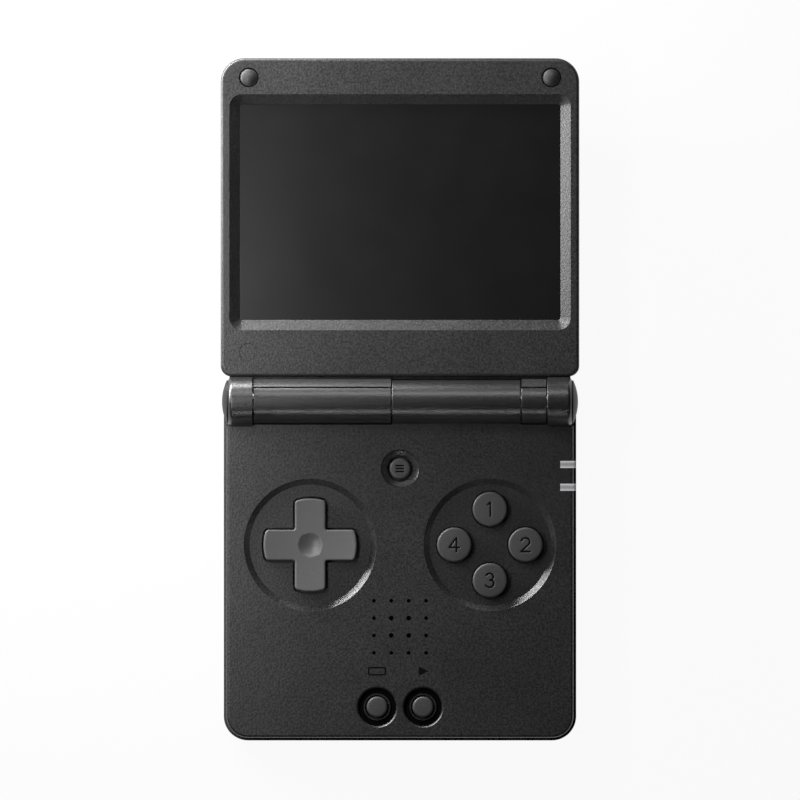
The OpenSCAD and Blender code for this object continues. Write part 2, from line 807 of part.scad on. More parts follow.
module base_top_shell() color("#3c3d3f") placed() difference() {
    top_shell_solid();
    barrel_room();
    translate([-pad_x, -pad_y, 0]) {
        dish(dish_r, dish_slope, dish_depth);
        translate([0, 0, parting_z]) cross(base_h, pad_gap, 0);
    }
    translate([cluster_x, -cluster_y, 0]) dish(dish_r, dish_slope, dish_depth);
    for (turn = [0:90:270]) at_face(turn) face_hole(face_cap_r + cap_gap);
    translate([0, -menu_y, 0]) {
        menu_dish();
        face_hole(small_cap_r + menu_gap);
    }
    both_sides() translate([option_x, -option_y, 0]) {
        option_dish();
        face_hole(small_cap_r + option_gap);
    }
    grille_holes();
    light_slots();
    at_base_screws() translate([0, 0, board_top - over])
        cylinder(h = ceiling_z - board_top, r = screw_r + turn_gap);
}

// A block with the outline of a shoulder button, grown by grow, between two stations along y
module shoulder_block(x0, w, y0, y1, grow)
    translate([x0 + w / 2, y1, 0]) rotate([90, 0, 0]) linear_extrude(y1 - y0)
        outline(w / 2 + grow, shoulder_z - grow, shoulder_z + shoulder_h + grow,
            shoulder_corner + grow, shoulder_corner + grow);

// A block with the outline of a side key, grown by grow, between two stations along x
module key_block(y, len, x0, x1, grow)
    translate([x0, -y, 0]) rotate([90, 0, 90]) linear_extrude(x1 - x0)
        outline(len / 2 + grow, key_z - key_h / 2 - grow, key_z + key_h / 2 + grow,
            key_corner + grow, key_corner + grow);

// A bar with round sides that runs along +Y from the origin
module round_bar(w, h, len) {
    for (side = [-1, 1]) translate([side * (w - h) / 2, 0, 0]) rotate([-90, 0, 0])
        cylinder(h = len, r = h / 2);
    translate([(h - w) / 2, 0, -h / 2]) cube([w - h, len, h]);
}

module bottom_shell_solid() {
    core = max(wall, base_bottom_edge) + 0.6;
    around(base_half, -base_front, base_back, base_corner, base_back_corner)
        wall_up(wall, skin, bottom_z, parting_z, base_bottom_edge, core);
    translate([0, 0, bottom_z]) linear_extrude(skin) base_outline(core, 0);
    at_base_screws() translate([0, 0, floor_z - skin / 4])
        cylinder(h = board_under - floor_z - seat + skin / 4, r = boss_r);
    translate([0, -cover_screw_y, floor_z - skin / 4])
        cylinder(h = cover_boss_h + skin / 4, r = boss_r);
    translate([-rocker_pin_x, -volume_y, floor_z - skin / 4])
        cylinder(h = board_under - seat - floor_z + skin / 4, r = rocker_pin_r);
}

module base_bottom_shell() color("#37383a") placed() difference() {
    bottom_shell_solid();
    cover_room();
    at_feet() translate([0, 0, bottom_z - over]) cylinder(h = foot_sunk + over, r = foot_r + seat);
    at_base_screws() {
        translate([0, 0, bottom_z - over])
            cylinder(h = over + screw_well + screw_head_h, r = screw_head_r + screw_gap);
        translate([0, 0, bottom_z]) cylinder(h = base_h, r = screw_r + screw_gap);
    }
    translate([0, -cover_screw_y, bottom_z])
        cylinder(h = skin + cover_boss_h - screw_gap, r = screw_r + turn_gap);
    both_sides() {
        shoulder_block(outer_shoulder_x, outer_shoulder_w, inner_back - over, base_back + over,
            edge_gap);
        shoulder_block(inner_shoulder_x, inner_shoulder_w, inner_back - over, base_back + over,
            edge_gap);
    }
    mirror([1, 0, 0])
        key_block(volume_y, volume_len, inner_half - over, base_half + over, edge_gap);
    key_block(power_y, power_len, inner_half - over, base_half + over, edge_gap);
    translate([inner_half - over, -reset_y, key_z]) rotate([0, 90, 0])
        cylinder(h = wall + 2 * over, r = reset_r + edge_gap);
    both_sides() box([inner_half - over, -card_y - card_w / 2 - edge_gap, card_z - edge_gap],
        [base_half + over, card_w / 2 + edge_gap - card_y, card_z + card_t + edge_gap]);
    translate([0, -base_front - over, port_mid_z])
        round_bar(usb_w + 2 * edge_gap, usb_h + 2 * edge_gap, wall + 2 * over);
    translate([data_x, inner_back - over, port_mid_z])
        round_bar(usb_w + 2 * edge_gap, usb_h + 2 * edge_gap, wall + 2 * over);
    translate([jack_x, -base_front - over, jack_z]) rotate([-90, 0, 0])
        cylinder(h = wall + 2 * over, r = jack_nose_r + edge_gap);
    box([video_x - video_w / 2 - edge_gap, inner_back - over, port_mid_z - usb_h / 2 - edge_gap],
        [video_x + video_w / 2 + edge_gap, base_back + over, port_mid_z + usb_h / 2 + edge_gap]);
}

// The stepped shape of the battery cover's opening, drawn smaller by shrink for the cover itself
module cover_steps(z0, shrink, step_z, z1) {
    half = cover_half - cover_ledge - shrink;
    translate([0, 0, z0]) linear_extrude(step_z - z0)
        outline(cover_half, cover_y0, cover_y1, cover_corner, cover_corner, shrink);
    box([-half, cover_y0 + cover_ledge + shrink, (z0 + step_z) / 2],
        [half, -battery_y - shrink, z1]);
}

module cover_room()
    cover_steps(bottom_z - over, 0, bottom_z + cover_t + seat, floor_z + over);

module battery_cover() color("#3a3b3d") placed() difference() {
    cover_steps(bottom_z, cover_gap, bottom_z + cover_t, floor_z);
    translate([0, -cover_screw_y, bottom_z - over]) {
        cylinder(h = over + cover_head_h + seat, r = screw_head_r + screw_gap);
        cylinder(h = over + base_h, r = screw_r + screw_gap);
    }
}

module rubber_feet() color("#1c1c1d") placed()
    at_feet() cylinder(h = foot_h + foot_sunk - seat, r = foot_r);

// A screw whose head's underside is at z0 and whose tip is at z1
module screw(z0, z1, head_h) {
    translate([0, 0, z0 - head_h]) cylinder(h = head_h, r = screw_head_r);
    translate([0, 0, z0 - head_h / 2]) cylinder(h = z1 - z0 + head_h / 2, r = screw_r);
}

module case_screws() color("#8d8f92") placed() {
    at_base_screws()
        screw(bottom_z + screw_well + screw_head_h - seat, screw_top - screw_spare, screw_head_h);
    translate([0, -cover_screw_y, 0])
        screw(bottom_z + cover_head_h, floor_z + cover_boss_h - screw_spare, cover_head_h);
}

module main_board() color("#1d5b3c") placed() difference() {
    translate([0, 0, board_under]) linear_extrude(board_t)
        outline(board_half, -board_front, board_back, board_corner, board_corner);
    at_base_screws() translate([0, 0, board_under - over])
        cylinder(h = board_t + 2 * over, r = screw_r + 2 * screw_gap);
}

module processor_shield() color("#b9bbbe") placed() translate([0, -shield_y, board_top])
    box([-shield_w / 2, -shield_len / 2, seat], [shield_w / 2, shield_len / 2, shield_t]);

module battery() color("#2f4a7a") placed()
    box([-battery_half, -battery_y - battery_len, floor_z + seat],
        [battery_half, -battery_y, floor_z + seat + battery_t]);

// The battery's lead: two wires and the plug under the board
module battery_lead() color("#b02a24") placed() {
    y = -battery_y - battery_len - seat;
    for (x = [-lead_x, lead_x]) translate([x, y, lead_z]) rotate([90, 0, 0])
        cylinder(h = lead_len + seat, r = lead_r);
    box([-plug_half, y - lead_len - plug_len, lead_z - 2 * lead_r],
        [plug_half, y - lead_len, board_under - seat]);
}

// A rubber dome of a contact mat, up to the underside of what it carries
module mat_dome(r, top_z) translate([0, 0, board_top + seat + mat_t])
    cylinder(h = top_z - dome_gap - board_top - seat - mat_t, r1 = r, r2 = 0.7 * r);

module mat_sheet(r) translate([0, 0, board_top + seat]) cylinder(h = mat_t, r = r);

module dpad_membrane() color("#5b5d60") placed() translate([-pad_x, -pad_y, 0]) {
    difference() {
        mat_sheet(pad_flange_r + mat_border);
        translate([0, 0, board_top - over])
            cylinder(h = 2 * over + mat_t, r = ball_r + mat_border);
    }
    for (turn = [0:90:270]) rotate([0, 0, turn]) translate([0.7 * pad_reach, 0, 0])
        mat_dome(pad_dome_r, pad_flange_z);
}

module face_membrane() color("#5b5d60") placed() {
    translate([cluster_x, -cluster_y, 0]) mat_sheet(cluster_r + face_dome_r + mat_border);
    for (turn = [0:90:270]) at_face(turn) mat_dome(face_dome_r, face_stem_z);
}

module menu_membrane() color("#5b5d60") placed() translate([0, -menu_y, 0]) {
    mat_sheet(small_dome_r + 2 * mat_border);
    mat_dome(small_dome_r, small_stem_z);
}

module option_membrane() color("#5b5d60") placed() {
    half_len = small_dome_r + mat_border;
    translate([0, 0, board_top + seat]) linear_extrude(mat_t)
        outline(option_x + half_len, -option_y - half_len, half_len - option_y, stem_r, stem_r);
    both_sides() translate([option_x, -option_y, 0]) mat_dome(small_dome_r, small_stem_z);
}

module speaker() color("#27282a") placed() translate([0, -speaker_y, mesh_z - seat]) {
    basket_t = 0.45 * speaker_t;
    magnet_r = 0.6 * speaker_r;
    translate([0, 0, -speaker_t]) cylinder(h = speaker_t, r = magnet_r);
    translate([0, 0, -basket_t]) cylinder(h = basket_t, r = speaker_r);
}

module speaker_mesh() color("#161617") placed()
    translate([0, -speaker_y, mesh_z]) cylinder(h = mesh_t, r = speaker_r - mat_border);

module light_strips() color("#c9cbcd") placed()
    for (i = [0, 1]) translate([0, strip_w / 2 - strip_y - i * strip_pitch, 0])
        rotate([90, 0, 0]) linear_extrude(strip_w) translate([base_half, 0]) {
            wall_down(base_half - top_half + wall - seat, parting_z + seat, face_z, base_edge);
            translate([-strip_len, ceiling_z])
                square([strip_len - base_half + top_half - wall / 2, skin]);
        }

// A charge or data port with its mouth at the origin, facing -Y
module usb_port() {
    difference() {
        round_bar(usb_w, usb_h, usb_len);
        translate([0, -over, 0])
            round_bar(usb_w - 2 * port_t, usb_h - 2 * port_t, usb_len - port_t + over);
    }
    box([-usb_tongue_half, tongue_in, -tongue_t / 2],
        [usb_tongue_half, usb_len - port_t / 2, tongue_t / 2]);
}

module charge_port() color("#a9abae") placed()
    translate([0, port_in - base_front, port_mid_z]) usb_port();

module data_port() color("#a9abae") placed()
    translate([data_x, base_back - port_in, port_mid_z]) mirror([0, 1, 0]) usb_port();

module video_port() color("#a9abae") placed() translate([video_x, base_back - port_in, port_mid_z]) {
    half_h = usb_h / 2;
    difference() {
        box([-video_w / 2, -usb_len, -half_h], [video_w / 2, 0, half_h]);
        box([port_t - video_w / 2, port_t - usb_len, port_t - half_h],
            [video_w / 2 - port_t, over, half_h - port_t]);
    }
    box([-video_tongue_half, port_t / 2 - usb_len, -tongue_t / 2],
        [video_tongue_half, -tongue_in, tongue_t / 2]);
}

module headphone_jack() color("#1b1b1c") placed() translate([jack_x, -base_front, jack_z]) {
    nose = wall + 2 * seat;
    difference() {
        union() {
            translate([0, port_in, 0]) rotate([-90, 0, 0]) cylinder(h = nose, r = jack_nose_r);
            box([-jack_w / 2, nose, -jack_h / 2], [jack_w / 2, port_in + jack_len, jack_h / 2]);
        }
        translate([0, port_in - over, 0]) rotate([-90, 0, 0])
            cylinder(h = over + jack_len - jack_end, r = jack_bore_r);
    }
}

module card_slots() color("#a9abae") placed() both_sides() {
    mouth_x = inner_half - 2 * seat;
    room_half = card_w / 2 + card_play;
    case_half = room_half + card_rail;
    difference() {
        box([mouth_x - card_depth - card_rail, -card_y - case_half, card_z - card_play - card_shell_t],
            [mouth_x, case_half - card_y, board_under - seat]);
        box([mouth_x - card_depth, -card_y - room_half, card_z - card_play],
            [mouth_x + over, room_half - card_y, card_z + card_t + card_play]);
    }
}

// A small switch under the board: its tip at the origin points along +X
module switch_x(w) {
    box([-switch_tip - switch_len, -w / 2, -switch_drop],
        [-switch_tip, w / 2, board_under - seat - key_z]);
    translate([-switch_tip - seat, 0, 0]) rotate([0, 90, 0])
        cylinder(h = switch_tip + seat, r = switch_tip_r);
}

module side_switches() color("#2a2b2d") placed() {
    for (y = [power_y, reset_y])
        translate([key_flange_x - key_travel - tip_gap, -y, key_z]) switch_x(side_switch_w);
    for (y = [-rocker_arm, rocker_arm])
        translate([rocker_swing - rocker_inner_x, y - volume_y, key_z])
            mirror([1, 0, 0]) switch_x(side_switch_w);
}

module shoulder_switches() color("#2a2b2d") placed() both_sides()
    for (x = [outer_shoulder_x + outer_shoulder_w / 2, inner_shoulder_x + inner_shoulder_w / 2])
        translate([x, shoulder_flange_y - shoulder_travel - tip_gap, key_z]) rotate([0, 0, 90])
            switch_x(shoulder_switch_w);

module hall_sensor() color("#1b1b1c") placed()
    translate([magnet_x, sensor_behind - magnet_y, board_top + seat])
        box([-sensor_w / 2, -sensor_w / 2, 0], [sensor_w / 2, sensor_w / 2, sensor_t]);

// An end cap with its inner face at the origin, pointing along +X
module end_cap(bore_r, bore_len) rotate([0, 90, 0]) difference() {
    shell_len = cap_len - cap_button_h;
    rotate_extrude() {
        square([cap_r, shell_len - cap_shoulder]);
        square([cap_r - cap_shoulder, shell_len]);
        translate([cap_r - cap_shoulder, shell_len - cap_shoulder]) circle(cap_shoulder);
        intersection() {
            square([cap_button_r, cap_len]);
            translate([0, cap_len - cap_dome_r]) circle(cap_dome_r);
        }
    }
    translate([0, 0, -over]) cylinder(h = bore_len + over, r = bore_r);
}

module hinge_cap_left() color("#3a3b3d") placed() translate([-cap_inner, 0, axis_z])
    mirror([1, 0, 0]) end_cap(pin_r + turn_gap, pin_in_cap + seat);

module hinge_cap_right() color("#3a3b3d") placed() translate([cap_inner, 0, axis_z])
    end_cap(cartridge_r + turn_gap, cartridge_start - cap_inner + cartridge_len + seat);

module hinge_pin() color("#9a9ca0") placed()
    along_axis(-cap_inner - pin_in_cap, left_start + pin_grip - pin_free, pin_r);

module hinge_cartridge() color("#9a9ca0") placed() {
    along_axis(cartridge_start, cartridge_start + cartridge_len, cartridge_r);
    along_axis(shaft_start, cartridge_start + cartridge_len / 2, shaft_r);
}

module hinge_barrel() color("#3b3c3e") placed() difference() {
    union() {
        along_axis(middle_start, middle_end, barrel_r);
        along_axis(spigot_start, middle_start + end_wall / 2, spigot_r);
    }
    along_axis(spigot_start - over, middle_start + end_wall, spigot_r - spigot_t);
    along_axis(middle_start + end_wall / 2, middle_end - end_wall, barrel_bore_r);
    along_axis(middle_end - end_wall - over, middle_end + over, shaft_r + turn_gap);
    flex_drop_slot();
}

// Slot through which the rolled cable drops to the board
module flex_drop_slot()
    box([hinge_flex_x0 - flex_room, -flex_drop_y - flex_room, parting_z - lip_h - over],
        [hinge_flex_x1 + flex_room, flex_room - flex_drop_y, axis_z - barrel_bore_r / 3]);

module hinge_flex() color("#b87a2c") placed() {
    difference() {
        along_axis(spigot_start - pin_free, hinge_flex_x1, hinge_flex_r);
        along_axis(spigot_start - over, hinge_flex_x1 + over, hinge_flex_r - flex_t);
    }
    box([hinge_flex_x0, -flex_drop_y - flex_t / 2, board_top + flex_foot_h / 2],
        [hinge_flex_x1, flex_t / 2 - flex_drop_y, axis_z]);
    box([hinge_flex_x0, -flex_drop_y - flex_foot, board_top + seat],
        [hinge_flex_x1, flex_foot - flex_drop_y, board_top + flex_foot_h]);
}

// A knuckle of the lid and the web that joins it to the lid's near wall
module knuckle(x0, x1) {
    along_axis(x0, x1, barrel_r);
    box([x0, barrel_r / 2, web_under], [x1, lid_near - web_groove, web_top]);
    box([x0, barrel_r / 2, web_under], [x1, lid_near + lid_wall / 2, web_top - web_groove_depth]);
}

// A rib along the lid's near wall, outside the circle that the end caps fill
module near_rib()
    box([rib_in - lid_half, lid_near - rib_reach, lid_parting_z],
        [lid_half - rib_in, lid_near + lid_wall / 2, face_z - rib_down]);

module lid_outline(inset)
    outline(lid_half, lid_near, lid_far, lid_near_corner, lid_corner, inset);

// The outline of the recess round the lens, grown by grow
module recess_outline(grow)
    outline(recess_half, recess_near, recess_near + recess_len, recess_corner, recess_corner,
        -grow);

// The frame of the bezel: plate, sloped bevel and the ledge that carries the lens
module bezel() {
    join = 0.3;
    translate([0, 0, lid_ceiling_z]) linear_extrude(lid_skin) difference() {
        lid_outline(lid_wall);
        recess_outline(join / 2);
    }
    around(recess_half, recess_near, recess_near + recess_len, recess_corner, recess_corner)
        polygon([[join, face_z], [0, face_z], [-bevel_w, face_z - bevel_depth],
            [-bevel_w, ledge_top - ledge_t / 2], [join, ledge_top - ledge_t / 2]]);
    difference() {
        translate([0, 0, ledge_under]) linear_extrude(ledge_t) recess_outline(join / 2);
        box([ledge_w - glass_half, glass_near + ledge_w, ledge_under - over],
            [glass_half - ledge_w, glass_near + glass_len - ledge_w, ledge_top + over]);
    }
}

module lid_front_shell() color("#3e3f41") placed() difference() {
    union() {
        around(lid_half, lid_near, lid_far, lid_near_corner, lid_corner)
            wall_down(lid_wall, lid_parting_z, face_z, lid_edge);
        bezel();
        at_lid_screws() translate([0, 0, lid_parting_z + seat])
            cylinder(h = lid_ceiling_z - lid_parting_z - seat + lid_skin / 4, r = lid_boss_r);
        near_rib();
        knuckle(left_start, left_end);
        knuckle(right_start, right_end);
    }
    at_bumpers() translate([0, 0, lid_head_z - seat]) cylinder(h = lid_t, r = pocket_r);
    at_plug() translate([0, 0, lid_head_z - seat]) cylinder(h = lid_t, r = plug_r + plug_gap);
    at_lid_screws() translate([0, 0, lid_parting_z - over])
        cylinder(h = lid_t, r = screw_r + screw_gap);
    along_axis(left_start - over, left_start + pin_grip + over, pin_r + turn_gap);
    along_axis(left_start + pin_grip, left_end + over, knuckle_bore_r);
    along_axis(right_start - over, right_end + over, shaft_r + turn_gap);
    box([display_flex_x0 - flex_room, 0, flex_slot_z],
        [display_flex_x1 + flex_room, lid_near + lid_wall + over, flex_slot_z + flex_room]);
}

module lid_rear_shell() color("#3a3b3d") placed() difference() {
    core = 2.2;
    union() {
        around(lid_half, lid_near, lid_far, lid_near_corner, lid_corner)
            wall_up(lid_wall, lid_skin, lid_back_z, lid_parting_z, lid_back_edge, core);
        translate([0, 0, lid_back_z]) linear_extrude(lid_skin) lid_outline(core);
        at_lid_screws() translate([0, 0, lid_floor_z - lid_skin / 4])
            cylinder(h = lid_rear_h - lid_skin + lid_skin / 4 - seat, r = lid_boss_r);
    }
    at_lid_screws() translate([0, 0, lid_floor_z + seat])
        cylinder(h = lid_rear_h, r = screw_r + turn_gap);
}

module screen_lens() color("#141416") placed() translate([0, 0, ledge_top + adhesive_t])
    linear_extrude(lens_t) outline(glass_half, glass_near, glass_near + glass_len, glass_corner,
        glass_corner, seat);

module lens_adhesive() color("#0d0d0d") placed() difference() {
    translate([0, 0, ledge_top]) linear_extrude(adhesive_t) outline(glass_half, glass_near,
        glass_near + glass_len, glass_corner, glass_corner, 2 * seat);
    box([ledge_w - glass_half, glass_near + ledge_w, ledge_top - over],
        [glass_half - ledge_w, glass_near + glass_len - ledge_w, ledge_top + over]);
}

// A flat piece of the display's stack, set in from the panel's edge
module display_sheet(top_z, t, inset) {
    edge = ledge_w - panel_lap + inset;
    box([edge - glass_half, glass_near + edge, top_z - t],
        [glass_half - edge, glass_near + glass_len - edge, top_z]);
}

module lcd_panel() color("#0b0c0f") placed() display_sheet(panel_top, panel_t, 0);

module backlight() color("#d8dadc") placed() display_sheet(backlight_top, backlight_t, 0.5);

module panel_foam() color("#303133") placed()
    display_sheet(foam_top, foam_top - lid_floor_z - seat, 2);

module lid_bumpers() color("#232324") placed() at_bumpers() {
    top = face_z + bumper_proud;
    dome_r = (bumper_r * bumper_r + bumper_dome * bumper_dome) / (2 * bumper_dome);
    intersection() {
        translate([0, 0, face_z - pocket_depth + seat])
            cylinder(h = pocket_depth + bumper_proud, r = bumper_r);
        translate([0, 0, top - dome_r]) sphere(dome_r);
    }
}

module screw_plug() color("#3a3b3c") placed() at_plug()
    translate([0, 0, face_z - pocket_depth + seat])
        cylinder(h = pocket_depth - 2 * seat, r = plug_r);

module lid_screws() color("#8d8f92") placed() at_lid_screws() mirror([0, 0, 1])
    screw(-lid_head_z, -lid_floor_z - 2 * seat, screw_head_h);

module lid_magnet() color("#a7a9ac") placed() translate([magnet_x, magnet_y, lid_ceiling_z])
    box([-magnet_w / 2, -magnet_len / 2, -magnet_t], [magnet_w / 2, magnet_len / 2, -seat]);

// The display's cable: rolled in the left knuckle, then flat through the web and down to the panel
module display_flex() color("#b87a2c") placed() {
    flat_z = axis_z - display_flex_r - flex_t / 2;
    turn_y = lid_near + 2 * lid_wall;
    low_z = panel_top - panel_t + seat;
    difference() {
        along_axis(display_flex_x0, spigot_start - 2 * pin_free, display_flex_r);
        along_axis(display_flex_x0 - over, spigot_start, display_flex_r - flex_t);
    }
    box([display_flex_x0, 0, flat_z], [display_flex_x1, turn_y, flat_z + flex_t]);
    box([display_flex_x0, turn_y - flex_t, low_z], [display_flex_x1, turn_y, flat_z + flex_t]);
    box([display_flex_x0, turn_y - flex_t, low_z],
        [display_flex_x1, glass_near + ledge_w - panel_lap - seat, low_z + flex_t]);
}

module dpad() color("#58595c") placed() translate([-pad_x, -pad_y, 0]) {
    top = face_z + pad_proud;
    sag_r = (pad_reach * pad_reach + pad_sag * pad_sag) / (2 * pad_sag);
    hollow_r = (dimple_r * dimple_r + dimple_depth * dimple_depth) / (2 * dimple_depth);
    difference() {
        union() {
            difference() {
                translate([0, 0, pad_flange_z + pad_flange_t / 2])
                    cross(top - pad_flange_z - pad_flange_t / 2, 0, pad_gap);
                translate([0, 0, top - pad_sag + sag_r]) rotate([0, 0, 15]) sphere(sag_r);
                translate([0, 0, top - pad_sag - dimple_depth + hollow_r]) sphere(hollow_r);
            }
            translate([0, 0, pad_flange_z]) cylinder(h = pad_flange_t, r = pad_flange_r);
        }
        translate([0, 0, ball_z]) sphere(ball_r + turn_gap);
    }
}

module dpad_pivot() color("#9a9ca0") placed() translate([-pad_x, -pad_y, ball_z]) sphere(ball_r);

// A round button: cap with a rounded edge, flange under the shell and stem over its mat
module round_button(cap_r, top, under_z) {
    flange_z = under_z - flange_gap - flange_t;
    rotate_extrude() {
        translate([0, flange_z]) square([cap_r, top - cap_edge - flange_z]);
        translate([0, top - 2 * cap_edge]) square([cap_r - cap_edge, 2 * cap_edge]);
        translate([cap_r - cap_edge, top - cap_edge]) circle(cap_edge);
        translate([0, flange_z]) square([cap_r + flange_out, flange_t]);
        translate([0, flange_z - stem_h]) square([stem_r, stem_h + flange_t / 2]);
    }
}

module face_button(turn) color("#4a4b4d") placed() at_face(turn)
    round_button(face_cap_r, face_z + face_proud, dish_under_z);

module small_button(x, y) color("#4a4b4d") placed() translate([x, y, 0])
    round_button(small_cap_r, face_z + small_proud, small_under_z);

module button_right() face_button(0);
module button_top() face_button(90);
module button_left() face_button(180);
module button_bottom() face_button(270);
module menu_button() small_button(0, -menu_y);
module option_button_left() small_button(-option_x, -option_y);
module option_button_right() small_button(option_x, -option_y);

// A shoulder button on the right: cap in its window and flange behind the wall
module shoulder(x0, w) color("#434446") placed() {
    shoulder_block(x0, w, shoulder_flange_y + flange_t / 2, base_back + shoulder_proud, 0);
    box([x0 - shoulder_lap, shoulder_flange_y, shoulder_z - shoulder_lap],
        [x0 + w + shoulder_lap, shoulder_flange_y + flange_t,
            shoulder_z + shoulder_h + shoulder_lap / 2]);
}

module shoulder_right_outer() shoulder(outer_shoulder_x, outer_shoulder_w);
module shoulder_right_inner() shoulder(inner_shoulder_x, inner_shoulder_w);
module shoulder_left_outer() mirror([1, 0, 0]) shoulder_right_outer();
module shoulder_left_inner() mirror([1, 0, 0]) shoulder_right_inner();

module volume_rocker() color("#434446") placed() mirror([1, 0, 0]) difference() {
    union() {
        key_block(volume_y, volume_len, rocker_inner_x, key_out_x, 0);
        box([rocker_pin_x - rocker_boss_x, -volume_y - rocker_boss_y, key_z - key_h / 2],
            [rocker_inner_x + seat, rocker_boss_y - volume_y, key_z + key_h / 2]);
    }
    translate([rocker_pin_x, -volume_y, floor_z]) cylinder(h = base_h, r = rocker_pin_r + turn_gap);
}

module power_button() color("#434446") placed() {
    key_block(power_y, power_len, key_flange_x + flange_t / 2, key_out_x, 0);
    box([key_flange_x, -power_y - power_len / 2 - shoulder_lap, key_z - key_h / 2 - shoulder_lap],
        [key_flange_x + flange_t, power_len / 2 + shoulder_lap - power_y,
            key_z + key_h / 2 + shoulder_lap]);
}

module reset_button() color("#434446") placed() translate([0, -reset_y, key_z]) rotate([0, 90, 0]) {
    translate([0, 0, key_flange_x]) cylinder(h = flange_t, r = reset_r + shoulder_lap);
    translate([0, 0, key_flange_x]) cylinder(h = base_half - key_flange_x - seat, r = reset_r);
}

base_top_shell();
base_bottom_shell();
battery_cover();
rubber_feet();
case_screws();
main_board();
processor_shield();
battery();
battery_lead();
dpad_membrane();
face_membrane();
menu_membrane();
option_membrane();
speaker();
speaker_mesh();
light_strips();
charge_port();
headphone_jack();
card_slots();
video_port();
data_port();
shoulder_switches();
side_switches();
hall_sensor();
hinge_cap_left();
hinge_cap_right();
hinge_barrel();
hinge_cartridge();
hinge_pin();
hinge_flex();
lid_front_shell();
lid_rear_shell();
screen_lens();
lens_adhesive();
lcd_panel();
backlight();
panel_foam();
lid_bumpers();
screw_plug();
lid_screws();
lid_magnet();
display_flex();
dpad();
dpad_pivot();
button_top();
button_left();
button_right();
button_bottom();
menu_button();
option_button_left();
option_button_right();
shoulder_left_outer();
shoulder_left_inner();
shoulder_right_inner();
shoulder_right_outer();
volume_rocker();
power_button();
reset_button();
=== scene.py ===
"""Looks of the folding handheld console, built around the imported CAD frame.

The camera and the lamps are placed in metres. Pieces are drawn in millimetres, and make_piece turns
them into metres. Every piece sits where the CAD says.
"""

import json
import math

import bpy
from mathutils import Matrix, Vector
from mathutils.geometry import delaunay_2d_cdt


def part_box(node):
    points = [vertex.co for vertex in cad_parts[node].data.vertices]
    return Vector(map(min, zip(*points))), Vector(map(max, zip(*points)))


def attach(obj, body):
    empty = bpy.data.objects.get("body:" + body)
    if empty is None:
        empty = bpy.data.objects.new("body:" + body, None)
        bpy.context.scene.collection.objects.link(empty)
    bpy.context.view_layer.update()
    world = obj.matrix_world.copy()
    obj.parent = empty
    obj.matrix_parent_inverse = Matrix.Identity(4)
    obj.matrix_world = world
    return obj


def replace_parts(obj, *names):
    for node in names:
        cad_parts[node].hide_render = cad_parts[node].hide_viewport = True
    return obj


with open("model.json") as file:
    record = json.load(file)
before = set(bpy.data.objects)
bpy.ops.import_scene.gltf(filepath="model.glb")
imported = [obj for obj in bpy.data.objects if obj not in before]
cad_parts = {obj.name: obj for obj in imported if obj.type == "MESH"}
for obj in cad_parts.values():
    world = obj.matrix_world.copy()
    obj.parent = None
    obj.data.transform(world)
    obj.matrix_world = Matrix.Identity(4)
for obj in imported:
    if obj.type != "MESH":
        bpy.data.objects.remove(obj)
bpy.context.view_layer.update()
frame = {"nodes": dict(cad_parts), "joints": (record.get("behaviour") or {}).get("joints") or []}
NODES = frame["nodes"]

MM = 0.001


# ---------------------------------------------------------------- camera, light and floor

VIEW_WIDTH = 191.2 * MM
VIEW_SHIFT_Y = -0.17 * MM
CAMERA_HEIGHT = 0.8
CAMERA_NEAR = 0.01
CAMERA_FAR = 20


def new_object(name, data):
    """A new object in the scene."""
    made = bpy.data.objects.new(name, data)
    bpy.context.scene.collection.objects.link(made)
    return made


def make_camera():
    """A camera straight above the console, as in the photograph."""
    data = bpy.data.cameras.new("camera")
    data.type = "ORTHO"
    data.ortho_scale = VIEW_WIDTH
    data.clip_start = CAMERA_NEAR
    data.clip_end = CAMERA_FAR
    camera = new_object("camera", data)
    camera.location = (0, VIEW_SHIFT_Y, CAMERA_HEIGHT)
    bpy.context.scene.camera = camera


def area_lamp(name, place, aim, size, power, spread):
    """A rectangular soft box at place that points at aim."""
    data = bpy.data.lights.new(name, "AREA")
    data.shape = "RECTANGLE"
    data.size, data.size_y = size
    data.energy = power
    data.spread = math.radians(spread)
    lamp = new_object(name, data)
    lamp.location = place
    lamp.rotation_mode = "QUATERNION"
    lamp.rotation_quaternion = (Vector(aim) - Vector(place)).to_track_quat("-Z", "Y")


CENTRE_Z = 15 * MM
LAMPS = [
    # name, place, aim and size of the soft box in metres, power in watts, spread in degrees
    ("key_far", (-0.08, 0.19, 0.05), (0.0, 0.07, CENTRE_Z), (0.13, 0.03), 0.40, 180),
    ("key", (-0.13, 0.16, 0.05), (0.0, 0.064, CENTRE_Z), (0.13, 0.03), 0.38, 180),
    ("key_left", (-0.18, 0.09, 0.047), (0.0, 0.04, CENTRE_Z), (0.13, 0.03), 0.48, 180),
    ("side", (-0.16, 0.05, 0.07), (0.0, 0.02, CENTRE_Z), (0.05, 0.03), 0.064, 180),
    ("back", (-0.04, 0.17, 0.20), (0.0, 0.0, CENTRE_Z), (0.22, 0.05), 0.157, 180),
    ("high", (-0.08, 0.02, 0.17), (0.0, 0.02, CENTRE_Z), (0.05, 0.03), 0.062, 180),
    ("high_far", (-0.08, 0.08, 0.16), (0.0, 0.08, CENTRE_Z), (0.05, 0.03), 0.016, 180),
    ("high_near", (-0.08, -0.05, 0.16), (0.0, -0.05, CENTRE_Z), (0.05, 0.03), 0.040, 180),
    ("near_strip", (-0.01, -0.15, 0.125), (0.0, 0.0, CENTRE_Z + MM), (0.09, 0.012), 0.00080, 22),
]


def make_lights():
    """Soft light from the upper left, low and high, and a faint narrow strip from the near side."""
    for lamp in LAMPS:
        area_lamp(*lamp)


